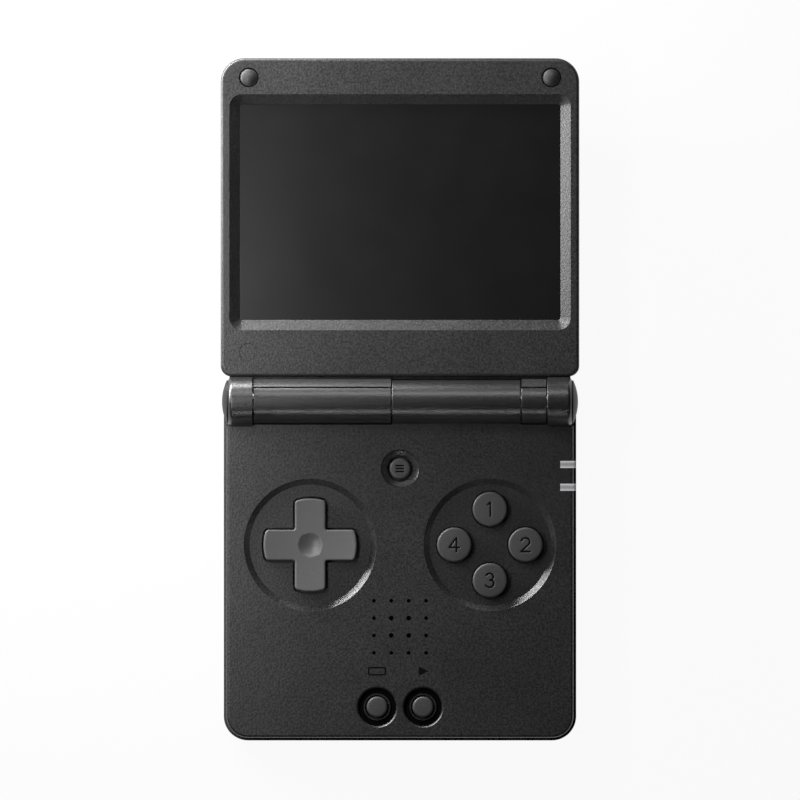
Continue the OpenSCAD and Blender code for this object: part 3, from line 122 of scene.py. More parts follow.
def add_node(tree, kind, values=()):
    """A new shader node with some of its sockets set."""
    node = tree.nodes.new("ShaderNode" + kind)
    for socket, value in dict(values).items():
        node.inputs[socket].default_value = value
    return node


def combine(tree, operation, a, b):
    """A Math node on two values."""
    node = add_node(tree, "Math")
    node.operation = operation
    tree.links.new(a, node.inputs[0])
    tree.links.new(b, node.inputs[1])
    return node.outputs[0]


def show_mix(tree, share, first, second, output):
    """Sends two shaders to the output; share says how much of the second shows."""
    mix = add_node(tree, "MixShader")
    for source, socket in zip((share, first.outputs[0], second.outputs[0]), mix.inputs):
        tree.links.new(source, socket)
    tree.links.new(mix.outputs[0], add_node(tree, output).inputs[0])


def seen_directly(tree):
    """The ray's path, and 1 for rays that look straight or through glass and 0 for all others."""
    path = add_node(tree, "LightPath").outputs
    return path, combine(tree, "MAXIMUM", path["Is Camera Ray"], path["Is Transmission Ray"])


WHITE = 1.0
WORLD_DIM = 0.03


def make_world():
    """White where it is seen directly, and dim as a light."""
    world = bpy.data.worlds.new("studio")
    bpy.context.scene.world = world
    world.use_nodes = True
    tree = world.node_tree
    tree.nodes.clear()
    dim, white = [add_node(tree, "Background", {"Color": (1, 1, 1, 1), "Strength": strength})
                  for strength in (WORLD_DIM, WHITE)]
    show_mix(tree, seen_directly(tree)[1], dim, white, "OutputWorld")


FLOOR_HALF = 3.0
FLOOR_GREY = 0.8
FLOOR_GLOW = 0.94


def make_floor():
    """A pale floor that reads as white and keeps a faint shadow."""
    mesh = bpy.data.meshes.new("floor")
    corners = [(x * FLOOR_HALF, y * FLOOR_HALF, 0) for x, y in ((-1, -1), (1, -1), (1, 1), (-1, 1))]
    mesh.from_pydata(corners, [], [(0, 1, 2, 3)])
    material = bpy.data.materials.new("floor")
    material.use_nodes = True
    tree = material.node_tree
    tree.nodes.clear()
    paint = add_node(tree, "BsdfDiffuse", {"Color": (FLOOR_GREY, FLOOR_GREY, FLOOR_GREY, 1)})
    glow = add_node(tree, "Emission", {"Strength": WHITE})
    path, straight = seen_directly(tree)
    share = add_node(tree, "Math", {1: FLOOR_GLOW})
    share.operation = "MULTIPLY"
    tree.links.new(combine(tree, "MAXIMUM", straight, path["Is Glossy Ray"]), share.inputs[0])
    show_mix(tree, share.outputs[0], paint, glow, "OutputMaterial")
    mesh.materials.append(material)
    new_object("floor", mesh)


# ---------------------------------------------------------------- materials


# A wave texture turns by this many radians over a length of 1 at a scale of 1
WAVE_RATE = 20
# The colour sockets of a Mix node
MIX_A = 6
MIX_B = 7
MIX_RESULT = 2


class Finish:
    """A node-based material that is built up step by step. Patterns are in object space."""

    def __init__(self, name, roughness, metallic=0.0, specular=0.5):
        self.material = bpy.data.materials.new(name)
        self.material.use_nodes = True
        self.tree = self.material.node_tree
        self.shader = self.tree.nodes["Principled BSDF"].inputs
        self.shader["Metallic"].default_value = metallic
        self.shader["Roughness"].default_value = roughness
        self.shader["Specular IOR Level"].default_value = specular
        self.place = add_node(self.tree, "TexCoord").outputs["Object"]

    def driven(self, kind, values, source, socket):
        """A node with some values set and one socket linked."""
        node = add_node(self.tree, kind, values)
        self.tree.links.new(source, node.inputs[socket])
        return node

    def noise(self, size_mm, detail=2.0):
        """Noise with grains of about that size."""
        values = {"Scale": 1 / (size_mm * MM), "Detail": detail}
        return self.driven("TexNoise", values, self.place, "Vector").outputs["Fac"]

    def cells(self, size_mm):
        """Rounded cells of about that size."""
        values = {"Scale": 1 / (size_mm * MM)}
        return self.driven("TexVoronoi", values, self.place, "Vector").outputs["Distance"]

    def bands(self, pitch_mm, direction="X", distortion=0.0, phase=0.0):
        """Parallel bands of that pitch; without a phase the origin is in a trough."""
        values = {"Scale": math.tau / (WAVE_RATE * pitch_mm * MM), "Distortion": distortion,
                  "Phase Offset": phase}
        node = self.driven("TexWave", values, self.place, "Vector")
        node.bands_direction = direction
        return node.outputs["Fac"]

    def spread(self, source, low, high, from_low=0.3, from_high=0.7):
        """Maps a pattern to the values from low to high."""
        values = {"From Min": from_low, "From Max": from_high, "To Min": low, "To Max": high}
        return self.driven("MapRange", values, source, "Value").outputs["Result"]

    def times(self, a, b):
        """The product of two patterns."""
        return combine(self.tree, "MULTIPLY", a, b)

    def colour(self, pattern, dark, light):
        """Blends two colours by a pattern from 0 to 1."""
        node = add_node(self.tree, "Mix")
        node.data_type = "RGBA"
        node.inputs[MIX_A].default_value = (*dark, 1)
        node.inputs[MIX_B].default_value = (*light, 1)
        self.tree.links.new(pattern, node.inputs[0])
        self.tree.links.new(node.outputs[MIX_RESULT], self.shader["Base Color"])
        return self

    def blotches(self, size_mm, dark, light):
        """Soft blotches of that size between two colours."""
        return self.colour(self.spread(self.noise(size_mm), 0, 1), dark, light)

    def roughness(self, pattern, low, high):
        """Lets the roughness vary with the pattern."""
        self.tree.links.new(self.spread(pattern, low, high), self.shader["Roughness"])
        return self

    def gloss(self, size_mm, low, high, detail=2.0):
        """Roughness that varies with noise of that size."""
        return self.roughness(self.noise(size_mm, detail), low, high)

    def bump(self, pattern, height_mm):
        """Raises the pattern by that height."""
        node = self.driven("Bump", {"Distance": height_mm * MM}, pattern, "Height")
        self.tree.links.new(node.outputs["Normal"], self.shader["Normal"])
        return self

    def relief(self, size_mm, height_mm, detail=2.0):
        """Noise of that size and height."""
        return self.bump(self.noise(size_mm, detail), height_mm)


COOL = 1.02


def grey(level):
    """A slightly cool grey."""
    return (level, level, level * COOL)


FLOW_MM = 14
GLOSS_SPREAD = 0.04


def moulded(name, level, roughness, grain_mm, grain_height, mottle=0.12, specular=0.5,
            speckle=0.1):
    """Moulded plastic: spark-eroded grain, faint flow mottling and uneven gloss."""
    f = Finish(name, roughness, specular=specular)
    fine = f.noise(grain_mm, 1.0)
    slow = f.noise(FLOW_MM)
    half_tone = f.times(f.spread(slow, 0.5 * (1 - mottle), 0.5 * (1 + mottle)),
                        f.spread(fine, 1 - speckle, 1 + speckle))
    f.colour(half_tone, grey(0.0), grey(2 * level))
    f.roughness(fine, roughness - GLOSS_SPREAD, roughness + GLOSS_SPREAD)
    f.bump(fine, grain_height)
    return f


# The light strips are coloured lighter along their edges and darker in their middles, a painted
# highlight of rounded edges; their pitch holds three periods of the pattern
STRIP_WIDTH = 1.7
STRIP_PITCH = 5.45
STRIP_PERIODS = 3


def light_guide():
    f = Finish("light_guide", 0.35)
    strip_y = box_mm("light_strips")[1].y - STRIP_WIDTH / 2
    period = STRIP_PITCH / STRIP_PERIODS
    # Painted highlight: lighter bands along the strips' edges stand in for light on a rounded
    # profile
    edges = f.bands(period, "Y", phase=-math.tau * strip_y / period)
    f.colour(f.spread(edges, 0, 1, 0.1, 0.9), grey(0.5), grey(0.95))
    return f.gloss(0.5, 0.3, 0.4).relief(0.3, 0.006)


def board_lacquer():
    f = Finish("board_lacquer", 0.3)
    traces = f.times(f.bands(1.1, "X", 1.5), f.bands(1.7, "Y", 2.0))
    f.colour(f.spread(traces, 0, 1, 0.25, 0.35), (0.008, 0.075, 0.035), (0.02, 0.16, 0.07))
    return f.bump(f.spread(traces, 0, 1, 0.25, 0.35), 0.03)


def stamped_steel():
    f = Finish("stamped_steel", 0.35, metallic=1.0)
    f.blotches(5, grey(0.42), grey(0.52))
    return f.roughness(f.bands(0.15, "X", 6.0), 0.28, 0.42).relief(0.5, 0.006)


def turned_steel():
    f = Finish("turned_steel", 0.3, metallic=1.0)
    f.blotches(2, grey(0.30), grey(0.40))
    return f.gloss(0.3, 0.25, 0.4).bump(f.bands(0.12, "Z", 1.0), 0.003)


def flat_cable():
    f = Finish("flat_cable", 0.3)
    lines = f.bands(0.5, "X")
    f.colour(f.spread(lines, 0, 1, 0.4, 0.6), (0.30, 0.12, 0.02), (0.45, 0.20, 0.04))
    return f.bump(f.spread(lines, 0, 1, 0.4, 0.6), 0.01)


def display_glass():
    f = Finish("display_glass", 0.1)
    f.colour(f.spread(f.cells(0.2), 0, 1), grey(0.006), grey(0.009))
    return f.gloss(6, 0.08, 0.14)


def diffuser_sheet():
    f = Finish("diffuser_sheet", 0.5)
    f.blotches(3, grey(0.66), grey(0.72))
    return f.bump(f.cells(0.3), 0.01)


def thin_foam():
    f = Finish("thin_foam", 0.9, specular=0.2)
    f.colour(f.spread(f.cells(0.35), 0, 1), grey(0.015), grey(0.04))
    return f.bump(f.cells(0.35), 0.08)


def dust_net():
    f = Finish("dust_net", 0.7, specular=0.3)
    weave = f.times(f.bands(0.22, "X"), f.bands(0.22, "Y"))
    return f.colour(f.spread(weave, 0, 1), grey(0.006), grey(0.02)).bump(weave, 0.05)


def make_finishes():
    """All materials by the names that the pieces use."""
    made = {
        "shell": moulded("shell_plastic", 0.028, 0.35, 0.50, 0.03, specular=0.6, speckle=0.38),
        "barrel": moulded("barrel_plastic", 0.009, 0.34, 0.45, 0.03, specular=1.0, speckle=0.3),
        "insert": moulded("cap_insert", 0.008, 0.50, 0.30, 0.01, specular=0.3),
        "cap": moulded("cap_plastic", 0.066, 0.40, 0.20, 0.008, mottle=0.06),
        "pad": moulded("pad_plastic", 0.115, 0.36, 0.20, 0.005, mottle=0.05),
        "edge_key": moulded("edge_key_plastic", 0.045, 0.42, 0.22, 0.01),
        "dark_part": moulded("inner_plastic", 0.018, 0.5, 0.3, 0.02),
        "rubber": Finish("soft_rubber", 0.7, specular=0.35)
        .blotches(2.0, grey(0.012), grey(0.022)).gloss(0.4, 0.5, 0.68).relief(0.18, 0.012, 3.0),
        "bumper": Finish("bumper_rubber", 0.42)
        .blotches(1.0, grey(0.028), grey(0.036)).gloss(0.3, 0.36, 0.46).relief(0.15, 0.004),
        "mat": Finish("silicone_mat", 0.6, specular=0.4)
        .blotches(3.0, grey(0.11), grey(0.14)).relief(0.25, 0.01),
        "lens": Finish("cover_glass", 0.30, specular=0.75)
        .blotches(30, grey(0.0018), grey(0.0024)).gloss(9, 0.29, 0.31, 3.0),
        "guide": light_guide(),
        "board": board_lacquer(),
        "sheet": stamped_steel(),
        "steel": turned_steel(),
        "gold": Finish("gold_plating", 0.25, metallic=1.0)
        .blotches(0.6, (0.75, 0.50, 0.18), (0.85, 0.60, 0.24)).gloss(0.2, 0.2, 0.32),
        "wrap": Finish("battery_wrap", 0.35)
        .blotches(8, (0.02, 0.05, 0.13), (0.03, 0.07, 0.17)).relief(2.5, 0.05),
        "wire": Finish("wire_jacket", 0.45)
        .blotches(1, (0.35, 0.02, 0.015), (0.45, 0.03, 0.02)).relief(0.3, 0.01),
        "cable": flat_cable(),
        "panel": display_glass(),
        "diffuser": diffuser_sheet(),
        "foam": thin_foam(),
        "net": dust_net(),
        # Dark paint for the printed marks, also used for the painted shade in the option grooves,
        # the plug's gap and the knuckles' creases
        "ink_and_painted_shade": Finish("print_and_painted_shade", 0.8, specular=0.1)
        .blotches(0.3, grey(0.0015), grey(0.003)).relief(0.12, 0.004),
    }
    return {name: finish.material for name, finish in made.items()}


FINISH_OF_NODE = {
    "shell": ["base_top_shell", "base_bottom_shell", "battery_cover", "lid_front_shell",
              "lid_rear_shell", "screw_plug"],
    "barrel": ["hinge_barrel", "hinge_cap_left", "hinge_cap_right"],
    "edge_key": ["shoulder_left_outer", "shoulder_left_inner", "shoulder_right_inner",
                 "shoulder_right_outer", "volume_rocker", "power_button", "reset_button"],
    "cap": ["button_top", "button_left", "button_right", "button_bottom", "menu_button",
            "option_button_left", "option_button_right"],
    "pad": ["dpad"],
    "rubber": ["rubber_feet"],
    "bumper": ["lid_bumpers"],
    "mat": ["dpad_membrane", "face_membrane", "menu_membrane", "option_membrane"],
    "lens": ["screen_lens"],
    "guide": ["light_strips"],
    "board": ["main_board"],
    "sheet": ["processor_shield", "charge_port", "data_port", "video_port", "card_slots",
              "lid_magnet"],
    "steel": ["case_screws", "lid_screws", "hinge_pin", "hinge_cartridge", "dpad_pivot"],
    "dark_part": ["headphone_jack", "shoulder_switches", "side_switches", "hall_sensor",
                  "speaker"],
    "wrap": ["battery"],
    "wire": ["battery_lead"],
    "cable": ["hinge_flex", "display_flex"],
    "panel": ["lcd_panel"],
    "diffuser": ["backlight"],
    "foam": ["panel_foam", "lens_adhesive"],
    "net": ["speaker_mesh"],
}


def dress_nodes(finishes):
    """Gives each CAD node its material. Those that a finer piece replaces get one too."""
    for finish, nodes in FINISH_OF_NODE.items():
        for name in nodes:
            mesh = NODES[name].data
            mesh.materials.clear()
            mesh.materials.append(finishes[finish])


# ---------------------------------------------------------------- mesh helpers


def make_piece(name, verts, faces, finish, body, sharp_deg=50.0):
    """A mesh from points in millimetres that rides on a body and takes a slot's finish."""
    mesh = bpy.data.meshes.new(name)
    mesh.from_pydata([Vector(v) * MM for v in verts], [], faces)
    mesh.validate()
    mesh.shade_smooth()
    mesh.set_sharp_from_angle(angle=math.radians(sharp_deg))
    mesh.materials.append(finish)
    piece = new_object(name, mesh)
    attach(piece, body)
    return piece


def box_mm(node):
    """The node's lowest and highest corner in millimetres."""
    low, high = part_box(node)
    return low / MM, high / MM


def middle(low, high):
    """The middle between two corners in plan."""
    return ((low.x + high.x) / 2, (low.y + high.y) / 2)


def ring(radius, z, centre, count):
    """Points of a level circle, counter-clockwise."""
    return [(centre[0] + radius * math.cos(math.tau * i / count),
             centre[1] + radius * math.sin(math.tau * i / count), z) for i in range(count)]


def inset_loop(loop, distance):
    """Moves each point of a counter-clockwise loop inwards along its normal."""
    n, moved = len(loop), []
    for i in range(n):
        before, after = Vector(loop[i - 1]), Vector(loop[(i + 1) % n])
        along = (after - before).normalized()
        moved.append((loop[i][0] - along.y * distance, loop[i][1] + along.x * distance))
    return moved


def skin_stack(loops, verts, faces, close_end=True):
    """Joins rings of equal length; each is a list of indices, and the last one may be closed."""
    for upper, lower in zip(loops, loops[1:]):
        n = len(upper)
        for i in range(n):
            j = (i + 1) % n
            faces.append((upper[i], lower[i], lower[j], upper[j]))
    if close_end:
        last = loops[-1]
        hub = len(verts)
        verts.append(tuple(sum(verts[i][k] for i in last) / len(last) for k in range(3)))
        n = len(last)
        for i in range(n):
            faces.append((last[i], hub, last[(i + 1) % n]))


def add_ring(points, verts):
    """Adds the points and gives their indices."""
    start = len(verts)
    verts.extend(points)
    return list(range(start, start + len(points)))


def turned(steps, centre, count, verts):
    """Adds a ring round a vertical axis for each (radius, z)."""
    return [add_ring(ring(radius, z, centre, count), verts) for radius, z in steps]


# The triangulation keeps what lies inside the outline and merges points this near each other
KEEP_INSIDE = 1
MERGE_NEAR = 1e-5


def patch(loop, inner, height):
    """A crowned top inside a counter-clockwise loop; inner are more points on it."""
    flat = [Vector(p) for p in loop] + [Vector(p) for p in inner]
    outline = [list(range(len(loop)))]
    out, _, tris, origin, _, _ = delaunay_2d_cdt(flat, [], outline, KEEP_INSIDE, MERGE_NEAR)
    verts = [(p.x, p.y, height(p.x, p.y)) for p in out]
    place = {}
    for new, olds in enumerate(origin):
        for old in olds:
            place[old] = new
    faces = []
    for t in tris:
        a, b, c = (out[i] for i in t)
        turn = (b.x - a.x) * (c.y - a.y) - (b.y - a.y) * (c.x - a.x)
        faces.append(tuple(t) if turn > 0 else tuple(reversed(t)))
    return verts, faces, [place[i] for i in range(len(loop))]


# Distance between the rows of a staggered grid, as a share of its step
ROW_SHARE = 0.87


def grid_points(x0, x1, y0, y1, step, keep):
    """Points of a staggered grid that keep() accepts."""
    points, row = [], 0
    y = y0
    while y <= y1:
        x = x0 + (step / 2 if row % 2 else 0)
        while x <= x1:
            if keep(x, y):
                points.append((x, y))
            x += step
        y += step * ROW_SHARE
        row += 1
    return points


def to_segment(x, y, a, b):
    """Distance from a point to a segment of some length."""
    dx, dy = b[0] - a[0], b[1] - a[1]
    t = max(0.0, min(1.0, ((x - a[0]) * dx + (y - a[1]) * dy) / (dx * dx + dy * dy)))
    return math.hypot(x - a[0] - t * dx, y - a[1] - t * dy)


def to_strokes(x, y, strokes):
    """Distance from a point to the nearest of some open lines."""
    return min(to_segment(x, y, a, b) for s in strokes for a, b in zip(s, s[1:]))


# ---------------------------------------------------------------- marks


def arc_line(cx, cy, rx, ry, start, end, count=14):
    """Points along part of an ellipse; the angles are in degrees."""
    return [(cx + rx * math.cos(math.radians(start + (end - start) * i / count)),
             cy + ry * math.sin(math.radians(start + (end - start) * i / count)))
            for i in range(count + 1)]


# Plain numbers and bars as open lines, in a box 1 high and about 0.7 wide round their middle
DIGITS = {
    1: [[(-0.18, 0.30), (0.04, 0.5), (0.04, -0.5)]],
    2: [arc_line(0, 0.2, 0.3, 0.3, 165, -35) + [(-0.32, -0.5), (0.33, -0.5)]],
    3: [arc_line(-0.02, 0.245, 0.27, 0.255, 150, -80)
        + arc_line(-0.02, -0.235, 0.31, 0.265, 80, -150)],
    4: [[(0.17, -0.5), (0.17, 0.5), (-0.36, -0.2), (0.38, -0.2)]],
}
MENU_BARS = [[(-0.36, y), (0.36, y)] for y in (0.3, 0.0, -0.3)]
DIGIT_HEIGHT = 3.3
MENU_MARK_HEIGHT = 2.4


def scaled(strokes, size):
    return [[(x * size, y * size) for x, y in s] for s in strokes]


# ---------------------------------------------------------------- buttons

CAP_SEGMENTS = 96
CAP_ROUND = 0.5
CAP_ROUND_STEPS = 8
CROWN = 0.10
LOW_CROWN = 0.04
# The flange under the face, and the stem that reaches the rubber mat
FLANGE_OUT = 1.25
FLANGE_LIFT = 0.9
FLANGE_T = 0.85
FLANGE_BREAK = 0.1
STEM_R = 2.0
STEM_BREAK = 0.15
# An engraved stroke; its flanks' outer ends and widths are in half widths of the stroke
STROKE_HALF = 0.20
STROKE_DEPTH = 0.16
FLANK_END = 1.6
FLANK_WIDTH = 0.9
FLANK_CURVE = 1.5
# Spacing of the top's points near the strokes and elsewhere, and how far each kind keeps off
FINE_STEP = 0.085
FINE_REACH = 0.42
FINE_MARGIN = 0.4
FINE_OFF_RIM = 0.15
COARSE_STEP = 0.45
COARSE_OFF_STROKE = 0.5
COARSE_OFF_RIM = 0.25


def round_cap(name, node, finish, strokes=(), crown=CROWN):
    """A round button: crowned top with engraved strokes, rounded edge, flange and stem."""
    low, high = box_mm(node)
    centre = middle(low, high)
    flange_r = (high.x - low.x) / 2
    flange_low = low.z + FLANGE_LIFT
    flange_high = flange_low + FLANGE_T
    cap_r = flange_r - FLANGE_OUT
    inner_r = cap_r - CAP_ROUND
    rim = [(p[0] - centre[0], p[1] - centre[1]) for p in ring(inner_r, 0, centre, CAP_SEGMENTS)]

    def height(x, y):
        z = high.z - crown * min(1.0, (x * x + y * y) / inner_r ** 2)
        if strokes:
            flank = (FLANK_END - to_strokes(x, y, strokes) / STROKE_HALF) / FLANK_WIDTH
            z -= STROKE_DEPTH * max(0.0, min(1.0, flank)) ** FLANK_CURVE
        return z

    fine = []
    if strokes:
        xs = [p[0] for s in strokes for p in s]
        ys = [p[1] for s in strokes for p in s]
        fine = grid_points(min(xs) - FINE_MARGIN, max(xs) + FINE_MARGIN,
                           min(ys) - FINE_MARGIN, max(ys) + FINE_MARGIN, FINE_STEP,
                           lambda x, y: to_strokes(x, y, strokes) < FINE_REACH
                           and math.hypot(x, y) < inner_r - FINE_OFF_RIM)
    coarse = grid_points(-inner_r, inner_r, -inner_r, inner_r, COARSE_STEP,
                         lambda x, y: math.hypot(x, y) < inner_r - COARSE_OFF_RIM
                         and not (strokes and to_strokes(x, y, strokes) < COARSE_OFF_STROKE))
    verts, faces, first = patch(rim, fine + coarse, height)
    verts = [(x + centre[0], y + centre[1], z) for x, y, z in verts]
    edge_top = high.z - crown
    turns = [math.radians(90 * k / CAP_ROUND_STEPS) for k in range(1, CAP_ROUND_STEPS + 1)]
    steps = [(inner_r + CAP_ROUND * math.sin(a), edge_top - CAP_ROUND * (1 - math.cos(a)))
             for a in turns]
    steps += [(cap_r, flange_high), (flange_r - FLANGE_BREAK, flange_high),
              (flange_r, flange_high - FLANGE_BREAK), (flange_r, flange_low + FLANGE_BREAK),
              (flange_r - FLANGE_BREAK, flange_low), (STEM_R, flange_low),
              (STEM_R, low.z + STEM_BREAK), (STEM_R - STEM_BREAK, low.z)]
    skin_stack([first] + turned(steps, centre, CAP_SEGMENTS, verts), verts, faces)
    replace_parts(make_piece(name, verts, faces, finish, node), node)


PAD_REACH = 11.15
PAD_ARM = 7.3
PAD_CORNER = 0.95
PAD_FILLET = 0.5
PAD_ROUND = 0.34
PAD_SAG = 0.5
DIMPLE_R = 2.87
PAD_ROUND_STEPS = 6
DIMPLE_DEPTH = 0.62
DIMPLE_RINGS = 9
PAD_FLANGE_T = 0.9
# Spacing of the points on the outline and on the top, and how far the latter keep off the edges
OUTLINE_STEP = 0.3
CORNER_STEPS = 8
FILLET_STEPS = 6
TOP_STEP = 0.4
OFF_SIDE = 0.12
OFF_TIP = 0.15
OFF_DIMPLE = 0.2
DIMPLE_LIP = 0.1
DIMPLE_LIP_POINTS = 60
# The socket under the pad: the ball's radius, how far its middle hangs below, and its rings
BALL_R = 1.55
BALL_DROP = 0.3
SOCKET_LEANS = (78, 64, 50, 36, 22, 8)


def quarter_of_cross(reach, half, corner, fillet):
    """The cross's outline from its top middle clockwise to its right middle."""
    cx = half - corner
    cy = math.sqrt((reach - corner) ** 2 - cx ** 2)
    lean = math.degrees(math.atan2(cx, cy))
    points = []
    count = max(2, round(math.radians(lean) * reach / OUTLINE_STEP))
    for i in range(count):
        a = math.radians(lean * i / count)
        points.append((reach * math.sin(a), reach * math.cos(a)))
    for i in range(CORNER_STEPS + 1):
        a = math.radians(lean + (90 - lean) * i / CORNER_STEPS)
        points.append((cx + corner * math.sin(a), cy + corner * math.cos(a)))
    count = round((cy - half - fillet) / OUTLINE_STEP)
    for i in range(1, count):
        points.append((half, cy + (half + fillet - cy) * i / count))
    straight = list(points)
    for i in range(FILLET_STEPS + 1):
        a = math.radians(180 + 90 * i / FILLET_STEPS)
        points.append((half + fillet + fillet * math.cos(a), half + fillet + fillet * math.sin(a)))
    return points + [(y, x) for x, y in reversed(straight)]


def cross_outline():
    """The whole outline, counter-clockwise."""
    quarter = quarter_of_cross(PAD_REACH, PAD_ARM / 2, PAD_CORNER, PAD_FILLET)
    loop = []
    for turn in range(4):
        a = -math.pi / 2 * turn
        for x, y in quarter[:-1]:
            loop.append((x * math.cos(a) - y * math.sin(a), x * math.sin(a) + y * math.cos(a)))
    loop.reverse()
    return loop


def direction_pad(finish):
    """The cross: sagging top with a dimple, rounded edges, skirt and flange over its ball."""
    low, high = box_mm("dpad")
    centre = middle(low, high)
    top, flange_low = high.z, low.z
    flange_high = flange_low + PAD_FLANGE_T
    flange_r = (high.x - low.x) / 2
    sag_r = (PAD_REACH ** 2 + PAD_SAG ** 2) / (2 * PAD_SAG)
    hollow_r = (DIMPLE_R ** 2 + DIMPLE_DEPTH ** 2) / (2 * DIMPLE_DEPTH)

    def height(x, y):
        d2 = x * x + y * y
        z = top - PAD_SAG + sag_r - math.sqrt(sag_r ** 2 - min(d2, PAD_REACH ** 2))
        if d2 < DIMPLE_R ** 2:
            bowl = top - PAD_SAG - DIMPLE_DEPTH + hollow_r - math.sqrt(hollow_r ** 2 - d2)
            z = min(z, bowl)
        return z

    outline = cross_outline()
    rim = inset_loop(outline, PAD_ROUND)

    def inside(x, y):
        half, reach = PAD_ARM / 2 - PAD_ROUND - OFF_SIDE, PAD_REACH - PAD_ROUND - OFF_TIP
        on_arm = abs(x) < half or abs(y) < half
        return on_arm and DIMPLE_R + OFF_DIMPLE < math.hypot(x, y) < reach

    inner = grid_points(-PAD_REACH, PAD_REACH, -PAD_REACH, PAD_REACH, TOP_STEP, inside)
    for k in range(1, DIMPLE_RINGS + 1):
        radius = DIMPLE_R * k / DIMPLE_RINGS
        count = max(8, round(math.tau * radius / OUTLINE_STEP))
        inner += [(p[0], p[1]) for p in ring(radius, 0, (0, 0), count)]
    inner += [(p[0], p[1]) for p in ring(DIMPLE_R + DIMPLE_LIP, 0, (0, 0), DIMPLE_LIP_POINTS)]
    inner.append((0.0, 0.0))
    verts, faces, first = patch(rim, inner, height)
    loops = [first]
    rim_z = [height(x, y) for x, y in rim]
    for k in range(1, PAD_ROUND_STEPS + 1):
        turn = math.radians(90 * k / PAD_ROUND_STEPS)
        loop = inset_loop(outline, PAD_ROUND * (1 - math.sin(turn)))
        loops.append(add_ring([(x, y, z - PAD_ROUND * (1 - math.cos(turn)))
                               for (x, y), z in zip(loop, rim_z)], verts))
    loops.append(add_ring([(x, y, flange_high) for x, y in outline], verts))
    angles = [math.atan2(y, x) for x, y in outline]
    under = [(flange_r - FLANGE_BREAK, flange_high), (flange_r, flange_high - FLANGE_BREAK),
             (flange_r, flange_low + FLANGE_BREAK), (flange_r - FLANGE_BREAK, flange_low)]
    ball_z = flange_low - BALL_DROP
    for lean in SOCKET_LEANS:
        a = math.radians(lean)
        under.append((BALL_R * math.sin(a), ball_z + BALL_R * math.cos(a)))
    for radius, z in under:
        loops.append(add_ring([(radius * math.cos(a), radius * math.sin(a), z) for a in angles],
                              verts))
    skin_stack(loops, verts, faces)
    verts = [(x + centre[0], y + centre[1], z) for x, y, z in verts]
    piece = make_piece("pad_cross", verts, faces, finish, "dpad", 40.0)
    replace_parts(piece, "dpad")


# The paint's half width, how far its top lies under the cap's, and its thickness
INK_HALF = 0.13
INK_DOWN = 0.05
INK_T = 0.14


def stroke_fill(name, node, strokes, finish):
    """Dark paint in the engraved strokes of a cap."""
    low, high = box_mm(node)
    cx, cy = middle(low, high)
    top = high.z - INK_DOWN
    verts, faces = [], []
    for line in strokes:
        for (x0, y0), (x1, y1) in zip(line, line[1:]):
            length = math.hypot(x1 - x0, y1 - y0)
            ux, uy = (x1 - x0) / length * INK_HALF, (y1 - y0) / length * INK_HALF
            slab = [(cx + x0 - ux / 2 + uy, cy + y0 - uy / 2 - ux),
                    (cx + x1 + ux / 2 + uy, cy + y1 + uy / 2 - ux),
                    (cx + x1 + ux / 2 - uy, cy + y1 + uy / 2 + ux),
                    (cx + x0 - ux / 2 - uy, cy + y0 - uy / 2 + ux)]
            closed_slab(slab, top - INK_T, top, upwards, verts, faces)
    make_piece(name, verts, faces, finish, node)


# ---------------------------------------------------------------- hinge

# The hinge's axis runs along X; the barrel's lengths are spans of X
AXIS_Y = frame["joints"][0]["pos_m"][1] / MM
AXIS_Z = frame["joints"][0]["pos_m"][2] / MM
BARREL_R = 5.16
LEFT_KNUCKLE = (-35.0, -2.125)
MIDDLE_BARREL = (-1.875, 28.8)
RIGHT_KNUCKLE = (29.05, 35.0)
END_GAP = 0.02
TURN_STEPS = 192
# The skins stand a little proud of the CAD barrel and have broken edges
SLEEVE_PROUD = 0.03
SLEEVE_T = 0.3
SLEEVE_EDGE = 0.08
# Points added near the ends of a side that is longer than ten times this
HOLD = 0.05


def off_axis(radius, angle):
    """Y and Z at that distance from the hinge axis; angles go from +Y to +Z."""
    return AXIS_Y + radius * math.cos(angle), AXIS_Z + radius * math.sin(angle)


def round_axis(profile):
    """Turns (x, radius) points round the hinge axis."""
    turns = [math.radians(360 * i / TURN_STEPS) for i in range(TURN_STEPS)]
    return [[(x, *off_axis(radius, a)) for a in turns] for x, radius in profile]


def with_holding_loops(profile):
    """Two more points near the ends of each long side, so that its shading stays straight."""
    dense = []
    for (x0, r0), (x1, r1) in zip(profile, profile[1:] + profile[:1]):
        dense.append((x0, r0))
        length = math.hypot(x1 - x0, r1 - r0)
        if length > 10 * HOLD:
            for share in (HOLD / length, 1 - HOLD / length):
                dense.append((x0 + (x1 - x0) * share, r0 + (r1 - r0) * share))
    return dense


def lathe(name, profile, finish, body):
    """A closed ring round the hinge axis; the profile runs once round its section."""
    verts, faces = [], []
    loops = [add_ring(r, verts) for r in round_axis(with_holding_loops(profile))]
    skin_stack(loops + [loops[0]], verts, faces, close_end=False)
    return make_piece(name, verts, faces, finish, body, 40.0)


def sleeve(name, span, finish, body):
    """The smooth skin of one length of the barrel, with broken edges."""
    x0, x1 = span[0] + END_GAP, span[1] - END_GAP
    outer, inner = BARREL_R + SLEEVE_PROUD, BARREL_R - SLEEVE_T
    edge, third = SLEEVE_EDGE, SLEEVE_EDGE / 3
    lathe(name, [(x0, inner), (x0, outer - edge), (x0 + third, outer - third), (x0 + edge, outer),
                 (x1 - edge, outer), (x1 - third, outer - third), (x1, outer - edge), (x1, inner)],
          finish, body)


ARC_STEPS = 24


